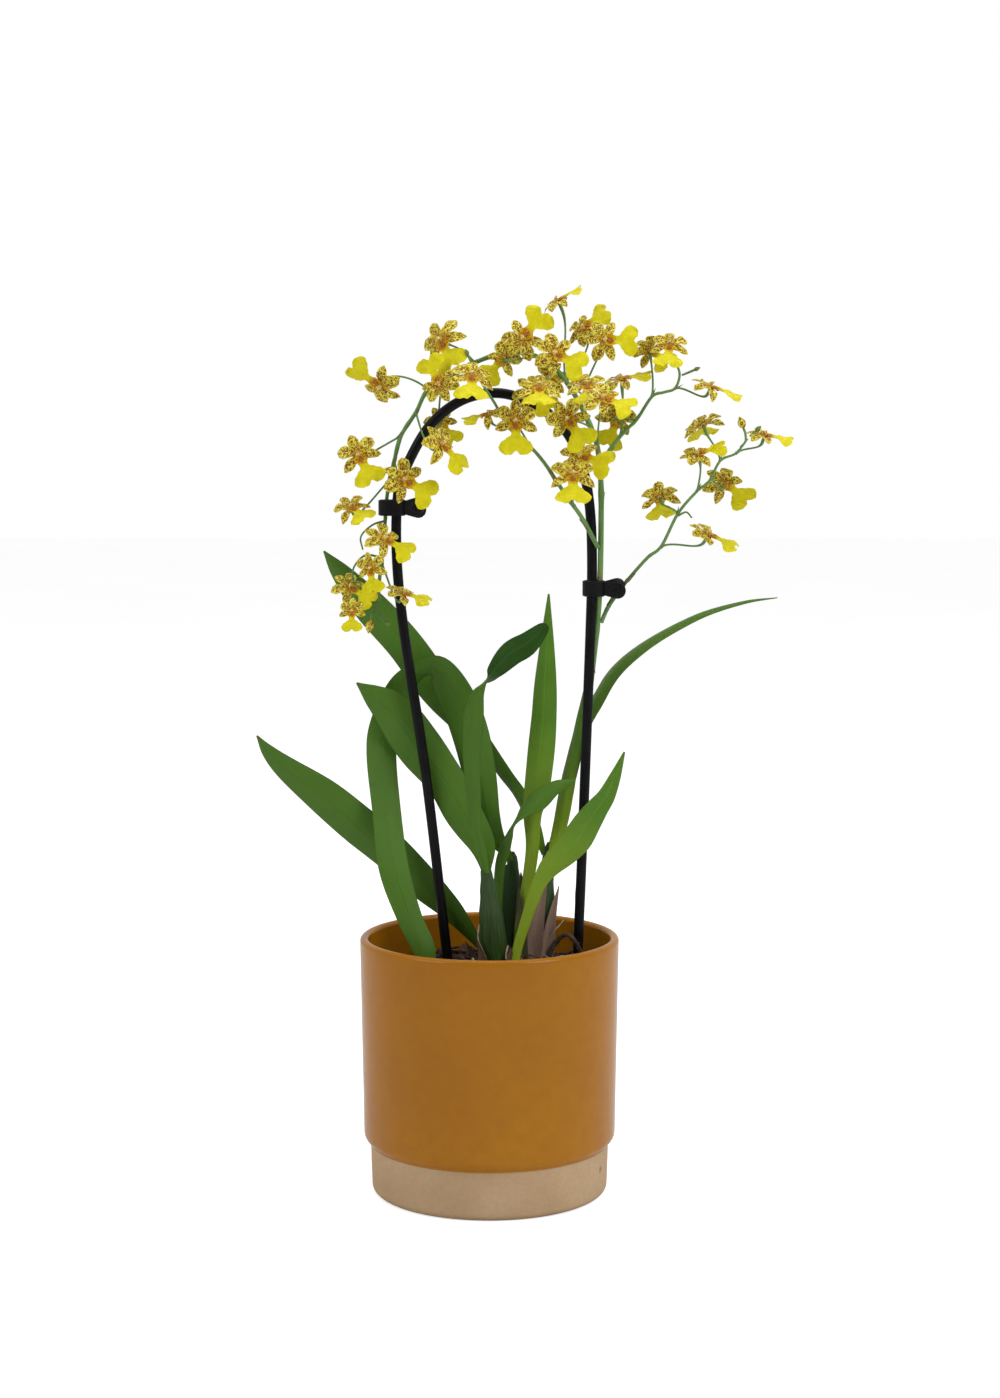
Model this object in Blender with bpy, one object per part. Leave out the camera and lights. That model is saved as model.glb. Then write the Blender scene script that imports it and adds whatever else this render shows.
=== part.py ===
"""A potted Oncidium orchid, trained along a black hoop, in a glazed pot with a bare clay foot.

Lengths are millimetres in this file, and MM turns them into Blender's metres.
The frame: +Z is up, +X is to the viewer's right, -Y is the side that is looked at.
The origin is the centre of the pot's flat underside.
"""

import bmesh
import bpy
from math import atan2, cos, exp, hypot, pi, radians, sin
from mathutils import Matrix, Vector

MM = 0.001

# ---- Clearances ----
SEAT_GAP = 0.35  # between a piece and the pocket or the piece that holds it
PEDICEL_GAP = 0.3  # between a flower stalk's end and its flower

# ---- Pot ----
POT_HEIGHT = 140.0
RIM_RADIUS = 70.0
SHOULDER_RADIUS = 68.3  # the glazed body narrows a little towards its shoulder
FOOT_RADIUS = 64.8
FOOT_BASE_RADIUS = 64.0
FOOT_HEIGHT = 27.0
SHOULDER_ROUND = 6.0
FOOT_ROUND = 4.0
WALL = 4.8
FLOOR = 8.0
INNER_ROUND = 7.0
POT_STEPS = 44

# ---- Bark mix ----
BARK_DROP = 20.0  # from the rim down to the bark at the wall
BARK_LEVEL = POT_HEIGHT - BARK_DROP
PLANTED_LEVEL = 120.0  # the bark level for which the heights of the hoop, clips and plant are given
LIFT = BARK_LEVEL - PLANTED_LEVEL
BARK_MOUND = 8.0  # how far it rises round the crown
MOUND_SPREAD = 24.0
BARK_ROUGHNESS = 0.8
CROWN = (17.0, -2.0)
BARK_STEPS = 40
BARK_RINGS = 7

# ---- Hoop and clips ----
HOOP_RADIUS = 2.75
CLEARED_RADIUS = 2.75  # the hoop radius for which the places of the stems and flowers are given
CLEARED_REACH = 55.0  # how far out the stems run past the hoop's side
HOOP_SIDES = 8
HOOP_ROUTE = [  # up the left leg, over the top, down the right leg
    (-13, 0, 34), (-23, 0, 129), (-34.5, 0, 230), (-45, 0, 300), (-49.3, 0, 343), (-48.6, 0, 378),
    (-43, 0, 395), (-31, 0, 415), (-14, 0, 428), (6, 0, 431.5), (26, 0, 424.5), (41, 0, 411),
    (49, 0, 394), (53.3, 0, 373), (54.8, 0, 343), (53.9, 0, 300), (50, 0, 186), (48, 0, 134),
    (44.5, 0, 34),
]
CLIP_HEIGHT = 8.0
CLIP_WALL = 1.5
CLIP_TAB_LENGTH = 12.0
CLIP_TAB_THICKNESS = 1.8
CLIP_TAB_SPREAD = 24.0  # degrees between the two finger tabs, half each side
CLIP_PLACES = {"clip_left": (-1, 371.0), "clip_right": (1, 328.0)}  # side of the hoop, height

# ---- Looped root ----
ROOT_RADIUS = 1.1
ROOT_START = (31.5, -9.0)
ROOT_END = (52.5, -9.5)
ROOT_CREST = 19.0

# ---- Leaves ----
LEAF_THICKNESS = 0.9
LEAF_TIP_WIDTH = 1.2
LEAF_FOLD = 0.2  # depth of the keel, as a share of the half width

# ---- Flower ----
FLOWER_THICKNESS = 0.9
TEPAL_LENGTH = 12.5
TEPAL_WIDTH = 6.4
LIP_LENGTH = 18.5
LIP_WIDTH = 19.0
LIP_CLAW_WIDTH = 4.5
HUB_RADIUS = 2.3
OVARY_LENGTH = 3.0
OVARY_RADIUS = 0.9
PEDICEL_RADIUS = 0.65
PEDICEL_STEPS = 5
PEDICEL_SIDES = 5
TEPAL_ANGLES = (90, 33, -22, 202, 147)  # dorsal sepal, right petal, right sepal, left sepal, left petal
TEPAL_TILTS = (0.5, -1.2, -2.2, -2.2, -1.2)  # how far each tip stands forward of the hub
LIP_ANGLE = 270
LIP_TILT = 1.5

# ---- Colours ----
COLOURS = {
    "glaze": ((0.50, 0.23, 0.035), 0.2),
    "bark": ((0.05, 0.028, 0.016), 0.95),
    "black_plastic": ((0.012, 0.012, 0.014), 0.4),
    "bulb": ((0.10, 0.20, 0.05), 0.55),
    "leaf": ((0.07, 0.19, 0.025), 0.4),
    "stem": ((0.17, 0.32, 0.07), 0.5),
    "root": ((0.07, 0.045, 0.025), 0.9),
    "petal": ((0.75, 0.58, 0.03), 0.5),
}


# ======================================================================================
# Small tools
# ======================================================================================

def clear_scene():
    for obj in list(bpy.data.objects):
        bpy.data.objects.remove(obj)


def material(name):
    found = bpy.data.materials.get(name)
    if found:
        return found
    colour, roughness = COLOURS[name]
    made = bpy.data.materials.new(name)
    made.use_nodes = True
    shader = made.node_tree.nodes["Principled BSDF"]
    shader.inputs["Base Color"].default_value = (*colour, 1.0)
    shader.inputs["Roughness"].default_value = roughness
    shader.inputs["Metallic"].default_value = 0.0
    return made


def new_object(name, mesh, finish, parent=None):
    """Puts a mesh, given in millimetres, in the scene as a metre-sized object with one material."""
    mesh.transform(Matrix.Scale(MM, 4))
    mesh.materials.append(material(finish))
    obj = bpy.data.objects.new(name, mesh)
    bpy.context.scene.collection.objects.link(obj)
    obj.parent = parent
    return obj


def mesh_from(name, points, faces, smooth=True):
    """A mesh with all its faces pointing out."""
    mesh = bpy.data.meshes.new(name)
    mesh.from_pydata([tuple(p) for p in points], [], faces)
    work = bmesh.new()
    work.from_mesh(mesh)
    bmesh.ops.recalc_face_normals(work, faces=work.faces)
    work.to_mesh(mesh)
    work.free()
    if smooth:
        mesh.shade_smooth()
        mesh.set_sharp_from_angle(angle=radians(40))
    return mesh


def helper(obj):
    """A cutter or a shape that a Boolean uses: it isn't part of the plant."""
    obj.hide_render = True
    obj.display_type = "WIRE"
    return obj


def boolean(obj, other, operation):
    modifier = obj.modifiers.new(operation.lower() + "_" + other.name, "BOOLEAN")
    modifier.operation = operation
    modifier.solver = "EXACT"
    modifier.use_self = operation == "UNION"
    modifier.object = other


def mix(a, b, t):
    return a + (b - a) * t


def ease(t):
    t = min(1.0, max(0.0, t))
    return t * t * (3 - 2 * t)


def smooth_route(rows, per_span):
    """Catmull-Rom through rows of equal length; each row may hold more than a place."""
    rows = [Vector(row) for row in rows]
    rows = [rows[0] * 2 - rows[1], *rows, rows[-1] * 2 - rows[-2]]
    found = []
    for a, b, c, d in zip(rows, rows[1:], rows[2:], rows[3:]):
        for step in range(per_span):
            t = step / per_span
            found.append(
                b + (c - a) * (t / 2) + (a * 2 - b * 5 + c * 4 - d) * (t * t / 2)
                + (b * 3 - a - c * 3 + d) * (t ** 3 / 2)
            )
    return [*found, rows[-2]]


def raised(rows):
    """Rows given for the planted level, moved to where the bark is."""
    return [(row[0], row[1], row[2] + LIFT, *row[3:]) for row in rows]


def trained(rows):
    """Rows of a stem or a flower, raised, and spread out where the hoop is thicker."""
    spread = 1 + (HOOP_RADIUS - CLEARED_RADIUS) / CLEARED_REACH
    return [(row[0] * spread, *row[1:]) for row in raised(rows)]


def point_at(route, share):
    """The point that lies this share of the way along a route, and the direction there."""
    lengths = [(b - a).length for a, b in zip(route, route[1:])]
    left = share * sum(lengths)
    for a, b, length in zip(route, route[1:], lengths):
        if left <= length:
            return a.lerp(b, left / length), (b - a).normalized()
        left -= length
    return route[-1].copy(), (route[-1] - route[-2]).normalized()


def tube_shape(route, radii, sides):
    """Points and faces of a closed tube along a route, its sections carried along without twist."""
    directions = [(b - a).normalized() for a, b in zip(route, route[1:])]
    directions = [directions[0], *[(a + b).normalized() for a, b in zip(directions, directions[1:])],
                  directions[-1]]
    side = directions[0].orthogonal().normalized()
    points, faces = [], []
    for index, (centre, along, radius) in enumerate(zip(route, directions, radii)):
        side = (side - along * side.dot(along)).normalized()
        other = along.cross(side)
        for k in range(sides):
            angle = 2 * pi * k / sides
            points.append(centre + (side * cos(angle) + other * sin(angle)) * radius)
        if index:
            low, high = (index - 1) * sides, index * sides
            for k in range(sides):
                n = (k + 1) % sides
                faces.append((low + k, low + n, high + n, high + k))
    faces.append(tuple(range(sides))[::-1])
    faces.append(tuple(range(len(points) - sides, len(points))))
    return points, faces


def joined(shapes):
    """Several (points, faces) as one."""
    points, faces = [], []
    for more_points, more_faces in shapes:
        start = len(points)
        points += more_points
        faces += [tuple(start + v for v in face) for face in more_faces]
    return points, faces


def arc(centre_r, centre_z, radius, start, end, steps):
    """Points (r, z) on an arc of a turned profile; the angles are in degrees from +r."""
    angles = [radians(mix(start, end, k / steps)) for k in range(steps + 1)]
    return [(centre_r + radius * cos(a), centre_z + radius * sin(a)) for a in angles]


def skinned(rings, steps):
    """Faces between rings of point numbers; a ring of one number is a point on the axis."""
    faces = []
    for low, high in zip(rings, rings[1:]):
        for k in range(steps):
            n = (k + 1) % steps
            face = (low[k % len(low)], low[n % len(low)], high[n % len(high)], high[k % len(high)])
            faces.append(tuple(dict.fromkeys(face)))
    return faces


def turned_shape(profile, steps, height=None):
    """Revolves an (r, z) profile whose two ends lie on the axis. A z of None is read from height(x, y)."""
    points, rings = [], []
    for r, z in profile:
        count = 1 if r < 1e-6 else steps
        rings.append(list(range(len(points), len(points) + count)))
        for k in range(count):
            x, y = r * cos(2 * pi * k / steps), r * sin(2 * pi * k / steps)
            points.append((x, y, height(x, y) if z is None else z))
    return points, skinned(rings, steps)


# ======================================================================================
# Pot and bark
# ======================================================================================

def inner_radius(z):
    """Radius of the pot's inside at height z, above its rounded floor corner."""
    share = (z - FOOT_HEIGHT) / (POT_HEIGHT - FOOT_HEIGHT)
    if share <= 0:
        return FOOT_RADIUS - WALL
    return mix(SHOULDER_RADIUS, RIM_RADIUS, share) - WALL


def pot():
    foot_slope = [(FOOT_BASE_RADIUS, FOOT_ROUND), (FOOT_RADIUS, FOOT_HEIGHT)]
    lip = WALL / 2
    floor_corner = inner_radius(0) - INNER_ROUND
    profile = [
        (0, 0),
        *arc(FOOT_BASE_RADIUS - FOOT_ROUND, FOOT_ROUND, FOOT_ROUND, -90, 0, 3),
        foot_slope[1],
        *arc(SHOULDER_RADIUS - SHOULDER_ROUND, FOOT_HEIGHT + SHOULDER_ROUND, SHOULDER_ROUND, -55, 0, 3),
        (RIM_RADIUS, POT_HEIGHT - lip),
        *arc(RIM_RADIUS - lip, POT_HEIGHT - lip, lip, 30, 150, 4),
        (inner_radius(POT_HEIGHT - lip), POT_HEIGHT - lip),
        (inner_radius(FOOT_HEIGHT + SHOULDER_ROUND), FOOT_HEIGHT + SHOULDER_ROUND),
        (inner_radius(0), FOOT_HEIGHT),
        *arc(floor_corner, FLOOR + INNER_ROUND, INNER_ROUND, 0, -90, 3),
        (0, FLOOR),
    ]
    return new_object("ceramic_pot", mesh_from("ceramic_pot", *turned_shape(profile, POT_STEPS)), "glaze")


def bark_top(x, y):
    """Height of the bark's surface: nearly level, with a mound round the crown."""
    from_crown = hypot(x - CROWN[0], y - CROWN[1])
    mound = BARK_MOUND * exp(-(from_crown / MOUND_SPREAD) ** 2)
    rough = sin(0.31 * x + 1.3) * cos(0.27 * y) + 0.6 * sin(0.53 * x - 0.47 * y)
    return BARK_LEVEL + mound + BARK_ROUGHNESS * rough


def bark(pockets):
    corner = FLOOR + INNER_ROUND
    foot = inner_radius(0) - SEAT_GAP
    body_start = FOOT_HEIGHT + SHOULDER_ROUND
    top = inner_radius(BARK_LEVEL) - SEAT_GAP
    profile = [
        (0, FLOOR + SEAT_GAP),
        (foot - INNER_ROUND, FLOOR + SEAT_GAP),
        (foot - 0.3 * INNER_ROUND, FLOOR + 0.3 * INNER_ROUND),
        (foot, corner),
        (foot, FOOT_HEIGHT),
        (inner_radius(body_start) - SEAT_GAP, body_start),
        *[(top * ring / BARK_RINGS, None) for ring in range(BARK_RINGS, -1, -1)],
    ]
    shape = turned_shape(profile, BARK_STEPS, bark_top)
    mix_body = new_object("bark_mix", mesh_from("bark_mix", *shape), "bark")
    for pocket in pockets:
        boolean(mix_body, pocket, "DIFFERENCE")
    return mix_body


# ======================================================================================
# Hoop, clips, root
# ======================================================================================

def hoop(grow=0.0):
    """The hoop, or with grow the cutter that makes its two holes in the bark."""
    route = smooth_route(raised(HOOP_ROUTE), 2)
    for end, neighbour in ((0, 1), (-1, -2)):
        route[end] = route[end] + (route[end] - route[neighbour]).normalized() * grow
    shape = tube_shape(route, [HOOP_RADIUS + grow] * len(route), HOOP_SIDES)
    name = "hoop_cutter" if grow else "support_hoop"
    made = new_object(name, mesh_from(name, *shape), "black_plastic")
    return helper(made) if grow else made


def stadium(half, radius, steps=6):
    """Outline round two circles of one radius, centred at +half and -half on X."""
    right, left = arc(half, 0, radius, -90, 90, steps), arc(-half, 0, radius, 90, 270, steps)
    return right + left


def clip(name, hoop_point, stem_point):
    """A band round the hoop and the stem, with two finger tabs on its right side."""
    inner = HOOP_RADIUS + SEAT_GAP
    outer = inner + CLIP_WALL
    low_x = min(hoop_point.x, stem_point.x + HOOP_RADIUS - STEM_CLIPPED_RADIUS)
    high_x = max(hoop_point.x, stem_point.x - HOOP_RADIUS + STEM_CLIPPED_RADIUS)
    middle = Vector(((low_x + high_x) / 2, hoop_point.y, hoop_point.z))
    half = (high_x - low_x) / 2
    outside, inside = stadium(half, outer), stadium(half, inner)
    count = len(outside)
    levels = (-CLIP_HEIGHT / 2, CLIP_HEIGHT / 2)
    points = [(x, y, z) for z in levels for ring in (outside, inside) for x, y in ring]
    faces = []
    for k in range(count):
        n = (k + 1) % count
        faces.append((k, n, 2 * count + n, 2 * count + k))
        faces.append((count + k, 3 * count + k, 3 * count + n, count + n))
        faces.append((k, count + k, count + n, n))
        faces.append((2 * count + k, 2 * count + n, 3 * count + n, 3 * count + k))
    band = new_object(name, mesh_from(name, points, faces), "black_plastic")
    band.location = middle * MM
    for side in (-1, 1):
        tab = new_object(f"{name}_tab_{side}", tab_mesh(), "black_plastic", parent=band)
        tab.location = Vector((half + inner + CLIP_WALL / 2, side * inner / 2, 0)) * MM
        tab.rotation_euler = (0, radians(6 * side), radians(CLIP_TAB_SPREAD / 2 * side))
        boolean(band, helper(tab), "UNION")
    return band


def tab_mesh():
    """A flat finger tab along +X with a round end."""
    half, steps = CLIP_HEIGHT / 2, 6
    outline = [(-CLIP_WALL / 4, -half * 0.8), (CLIP_TAB_LENGTH - half, -half)]
    outline += arc(CLIP_TAB_LENGTH - half, 0, half, -60, 60, steps)
    outline += [(CLIP_TAB_LENGTH - half, half), (-CLIP_WALL / 4, half * 0.8)]
    count = len(outline)
    points = [(x, y * CLIP_TAB_THICKNESS / 2, z) for y in (-1, 1) for x, z in outline]
    faces = [tuple(range(count)), tuple(range(count, 2 * count))[::-1]]
    faces += [(k, k + count, (k + 1) % count + count, (k + 1) % count) for k in range(count)]
    return mesh_from("tab", points, faces)


def root_loop():
    """A dead aerial root that leaves the bark and dips back into it."""
    rows, last = [], 8
    for k in range(last + 1):
        t = k / last
        x, y = mix(ROOT_START[0], ROOT_END[0], t), mix(ROOT_START[1], ROOT_END[1], t)
        lift = ROOT_CREST * sin(pi * t) ** 0.8 if 0 < k < last else 0.0
        rows.append((x, y + 1.5 * sin(7 * t), bark_top(x, y) + SEAT_GAP + ROOT_RADIUS * 0.4 + lift))
    route = smooth_route(rows, 1)
    radii = [ROOT_RADIUS * (1 + 0.15 * sin(5.0 * k)) for k in range(len(route))]
    return new_object("looped_root", mesh_from("looped_root", *tube_shape(route, radii, 6)), "root")


# ======================================================================================
# Bulbs and leaves
# ======================================================================================

BULBS = {  # foot, top, width, depth
    "bulb_front": ((4.5, -12.0, 117), (-1.5, -12.5, 175.5), 14.5, 11.0),
    "bulb_back": ((11.0, 8.0, 117), (12.5, 9.5, 177), 14.0, 10.0),
    "bulb_right": ((27.0, -3.0, 117), (31.5, 0.0, 183), 13.0, 10.0),
}
BULB_SIDES = 14
BULB_LEVELS = 6
BULB_FOOT = 0.72  # width at the foot and at the flat top, as shares of the full width
BULB_TIP = 0.5
BULB_FULLEST = 0.4
BULB_RIB = 0.05  # height of its ribs, as a share of the radius


def bulb(name, grow=0.0):
    """A ribbed pseudobulb, or with grow the cutter for its pocket in the bark."""
    foot, top, width, depth = BULBS[name]
    foot, top = (Vector(place) for place in raised((foot, top)))
    points, faces = [], []
    for level in range(BULB_LEVELS + 1):
        t = level / BULB_LEVELS
        if t < BULB_FULLEST:
            swell = mix(BULB_FOOT, 1.0, ease(t / BULB_FULLEST))
        else:
            swell = mix(1.0, BULB_TIP, ease((t - BULB_FULLEST) / (1 - BULB_FULLEST)))
        centre = foot.lerp(top, t) + Vector((0, 0, -grow if level == 0 else 0))
        for k in range(BULB_SIDES):
            angle = 2 * pi * k / BULB_SIDES
            rib = 1.0 + BULB_RIB * cos(pi * k)
            across, deep = width / 2 * swell * rib + grow, depth / 2 * swell * rib + grow
            points.append(centre + Vector((across * cos(angle), deep * sin(angle), 0)))
        if level:
            low, high = (level - 1) * BULB_SIDES, level * BULB_SIDES
            faces += [(low + k, low + (k + 1) % BULB_SIDES, high + (k + 1) % BULB_SIDES, high + k)
                      for k in range(BULB_SIDES)]
    faces.append(tuple(range(BULB_SIDES))[::-1])
    faces.append(tuple(range(len(points) - BULB_SIDES, len(points))))
    label = name + "_cutter" if grow else name
    made = new_object(label, mesh_from(label, points, faces), "bulb")
    return helper(made) if grow else made


# Each leaf's spine: x, y, z, the roll in degrees, and the blade's width there. At a roll of 0 the
# blade faces the viewer, and at 90 it is edge-on.
LEAVES = {
    "leaf_far_left": [
        (3, 1, 116, 60, 4), (-1, 2, 128, 50, 5.7), (-9.5, 3, 139.5, 35, 9.2), (-21, 6, 153, 20, 14.3),
        (-35, 9, 166, 12, 18.4), (-54, 11, 184, 10, 21.6), (-73, 11, 200, 10, 22.2),
        (-91, 9, 215.5, 10, 20.2), (-109, 5, 230, 15, 14.2), (-119, 2.7, 240, 22, 8.5),
        (-125, 1, 248.7, 30, 1)],
    "leaf_folded_over": [
        (11.8, 8.5, 178.2, 10, 3.5), (9, 8, 184, 12, 6), (3.5, 7, 192, 12, 10), (-1.5, 7, 205, 12, 15),
        (-5, 9, 225, 8, 18),
        (-10, 13, 247, 5, 20), (-17, 16, 266, 10, 20), (-27, 17, 282.5, 30, 18), (-37, 18, 283, 50, 16.5),
        (-47.5, 20, 274, 35, 17), (-56.5, 20, 253, 12, 17), (-58.7, 14, 236.9, 6, 16.3),
        (-55.4, 0, 207.8, 5, 15.3), (-51.2, -13, 179.1, 5, 16), (-42.4, -20, 153.1, 5, 13.3),
        (-34.4, -25, 136.5, 6, 11.8), (-33, -26, 122, 8, 4)],
    "leaf_long_back": [
        (29.6, 1.9, 184, 20, 3), (24.4, 10, 198.9, 30, 7.5), (17.5, 13, 213.9, 28, 8),
        (8.7, 17, 225.6, 25, 8), (-2.1, 22, 240.8, 20, 9), (-12.9, 26, 252.2, 12, 14),
        (-28.7, 29, 270.7, 6, 20), (-46.2, 27, 295.5, 5, 20), (-65.3, 18, 317.8, 8, 19),
        (-80, 11, 336, 15, 11), (-88.7, 7, 347.6, 20, 1)],
    "leaf_broad_left": [
        (-1.5, -10.6, 176.5, 20, 5), (-3.9, -7, 190.8, 12, 15), (-13.8, -1, 206.5, 5, 20.5),
        (-23.3, 4, 223.4, 5, 21.2), (-38.4, 8, 242.5, 6, 25.3), (-51.5, 8, 260.5, 8, 22.6),
        (-62.1, 7.5, 269.5, 12, 13.3), (-71.5, 6, 276.7, 20, 1)],
    "leaf_twisted": [
        (-1.5, -14.3, 176.5, 30, 4), (-4, -15.3, 188, 30, 5.9), (-6.7, -16, 201, 30, 6),
        (-8.4, -17, 220.5, 32, 9.4), (-9.3, -17.5, 239.9, 34, 11.4), (-8.3, -17, 259, 38, 13.3),
        (-6.2, -16, 272.4, 60, 13.3), (0.7, -15.5, 281, 110, 13.3), (3.5, -15, 285.7, 135, 13.5),
        (11.5, -14, 294.2, 165, 13.7), (20.1, -13, 299.3, 170, 13), (28.7, -12, 307.5, 170, 7),
        (31, -11.7, 309.8, 170, 1)],
    "leaf_tall": [
        (14.5, -6, 116, 20, 5), (16.5, -6, 146, 25, 6), (20.7, -6, 170.1, 25, 6.9),
        (23.2, -5.5, 189.6, 22, 7.8), (23.2, -4, 206.9, 18, 10.6), (25.4, -2, 218.4, 16, 14.1),
        (27.6, 1, 237.5, 14, 14.7), (29.3, 3, 256.8, 12, 13.9), (30.2, 5, 276, 11, 12.2),
        (31, 6.5, 297.3, 10, 7.8), (31.9, 8, 324.5, 10, 1)],
    "leaf_small": [
        (6.5, -2, 116, 15, 3.5), (4.8, -2, 145, 15, 4.5), (4.6, -2.6, 162, 20, 5.5),
        (5.8, -4, 178.5, 25, 6), (8.3, -5.5, 187.6, 35, 6.9), (11, -7, 195.7, 60, 6.9),
        (13.9, -9, 202.8, 85, 7), (19.3, -11, 209.9, 40, 8), (26, -12.5, 215, 15, 10.8),
        (35.6, -13.5, 222.9, 10, 7), (45.7, -14, 226.5, 10, 1)],
    "leaf_broad_right": [
        (12, -17.5, 116, 25, 4.5), (14.5, -17.8, 134, 25, 5.5), (19.3, -18, 150.7, 22, 6),
        (23.1, -19, 162.6, 18, 7), (26.9, -20, 172.5, 12, 8), (32.2, -21.5, 181.1, 8, 11.2),
        (40.6, -23, 189.5, 5, 14.6), (46.8, -24, 196.8, 5, 16), (51.9, -25, 205.3, 5, 14.6),
        (57.2, -25, 213, 6, 11.8), (62, -24.5, 219.6, 8, 9.5), (66.7, -24, 230.1, 12, 6),
        (71.5, -23, 242.9, 15, 1)],
    "leaf_long_right": [
        (33, 1.7, 184, 10, 3), (36, 8, 195, 20, 5), (43, 15, 221, 35, 8), (50, 19, 249, 50, 10.5),
        (59, 20, 266, 55, 11), (69, 18, 282, 58, 10.5), (86, 13, 297, 60, 8.8), (112, 8, 312, 64, 6),
        (136, 3, 320, 68, 3.5), (154, 0, 323, 75, 1)],
    "leaf_narrow": [
        (31.8, -1.5, 184, 0, 3.5), (37.5, 1, 197, 20, 7.5), (42, 5, 220, 40, 10), (48, 9, 250, 50, 7.5),
        (52, 11, 276, 55, 1)],
}
ROOTED_LEAVES = ("leaf_far_left", "leaf_tall", "leaf_small", "leaf_broad_right")
LEAF_STEPS = 18


def leaf(name, grow=0.0):
    """A strap leaf folded along its midrib, or with grow the cutter for its base's pocket."""
    route = smooth_route(raised(LEAVES[name]), 4)
    count = LEAF_STEPS if not grow else 4
    reach = 1.0 if not grow else 0.14
    samples = []
    for k in range(count + 1):
        where = k / count * reach * (len(route) - 1)
        index = min(int(where), len(route) - 2)
        samples.append((where / (len(route) - 1), route[index].lerp(route[index + 1], where - index)))
    places = [Vector(row[:3]) for _, row in samples]
    if grow:
        places[0] += (places[0] - places[1]).normalized() * grow
    points, faces = [], []
    for k, ((t, row), place) in enumerate(zip(samples, places)):
        along = (places[min(k + 1, count)] - places[max(k - 1, 0)]).normalized()
        across = along.cross(Vector((0, 1, 0))).normalized()
        normal = across.cross(along)
        roll = radians(row[3])
        across, normal = across * cos(roll) + normal * sin(roll), normal * cos(roll) - across * sin(roll)
        half = max(LEAF_TIP_WIDTH, row[4]) / 2 + grow
        keel = LEAF_FOLD * half * (1 if t > 0.03 else 0.5)
        thick = (LEAF_THICKNESS * mix(1.0, 0.55, t)) / 2 + grow
        for across_share, depth in ((-1, 0), (0, keel), (1, 0)):
            for face_side in (-1, 1):
                points.append(place + across * half * across_share + normal * (face_side * thick - depth))
        if k:
            low, high = (k - 1) * 6, k * 6
            # Both sides are split along the same diagonals, so that they can't cross where it twists.
            for a, b in ((0, 2), (2, 4), (1, 3), (3, 5), (0, 1), (4, 5)):
                faces += [(low + a, low + b, high + b), (low + a, high + b, high + a)]
    faces.append((0, 2, 3, 1))
    faces.append((2, 4, 5, 3))
    last = len(points) - 6
    faces.append((last, last + 1, last + 3, last + 2))
    faces.append((last + 2, last + 3, last + 5, last + 4))
    label = name + "_cutter" if grow else name
    made = new_object(label, mesh_from(label, points, faces), "leaf")
    return helper(made) if grow else made


# ======================================================================================
# Stems and flowers
# ======================================================================================

# Each stem: radius at its foot, radius at its tip, and its route from foot to tip.
STEMS = {
    "flower_spike": (1.9, 0.8, [
        (47, 10, 116), (48.2, 10, 150), (49.3, 9.5, 178), (50.5, 9, 205), (52.3, 8, 237), (54, 7, 270),
        (57, 4, 300), (58.9, 0, 327), (59.5, -1, 362), (59.2, -2, 386), (57.2, -1, 404),
        (53.4, -0.5, 414.7), (45.4, 0, 430.5), (33.8, 1, 445.7), (20, 2, 452.5), (5, 2, 452),
        (-10, 1, 446.5), (-20, 0.5, 440.3), (-32.5, -0.5, 433.1), (-38.8, -2, 421.5), (-46.8, -2, 408.9),
        (-50.6, -1, 395.1), (-52.8, 0, 386.6), (-54.8, 0, 374), (-55.6, 0, 361.7), (-57.2, -2, 343.1),
        (-58.5, -4, 332.6), (-58.9, -6, 322.1)]),
    "branch_upper": (1.2, 0.6, [
        (60.7, 0, 392.5), (63.6, 1, 400.4), (67.9, 2, 406.7), (73.7, 2, 413.1), (78.5, 2, 417.8),
        (86.3, 1, 429.7), (92.6, 0.5, 432), (98.4, 0, 434.1), (100.8, 0, 441.5), (98, 0, 449.5)]),
    "branch_lower": (1.2, 0.6, [
        (60, 4.2, 309.5), (63.3, 7.5, 316.6), (66.8, 9.5, 321.7), (70.6, 8.5, 327.2), (75.7, 3, 334.3),
        (84.3, -4, 344.7), (91.4, -7, 351), (99.9, -8, 368.1), (110, -7, 379.9), (116.4, -6, 385.2),
        (122.4, -5, 396), (130.7, -4, 399.9), (136.8, -3, 407.5)]),
    "branch_left": (1.3, 0.6, [
        (57.8, -2.9, 350), (49, -9, 366), (41, -11, 377), (29, -12, 395), (20, -12, 405),
        (10, -13, 414), (3, -14, 426), (-4, -14, 437), (-9, -13, 447)]),
}
STEM_CLIPPED_RADIUS = 1.6
STEM_SIDES = 6

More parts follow.
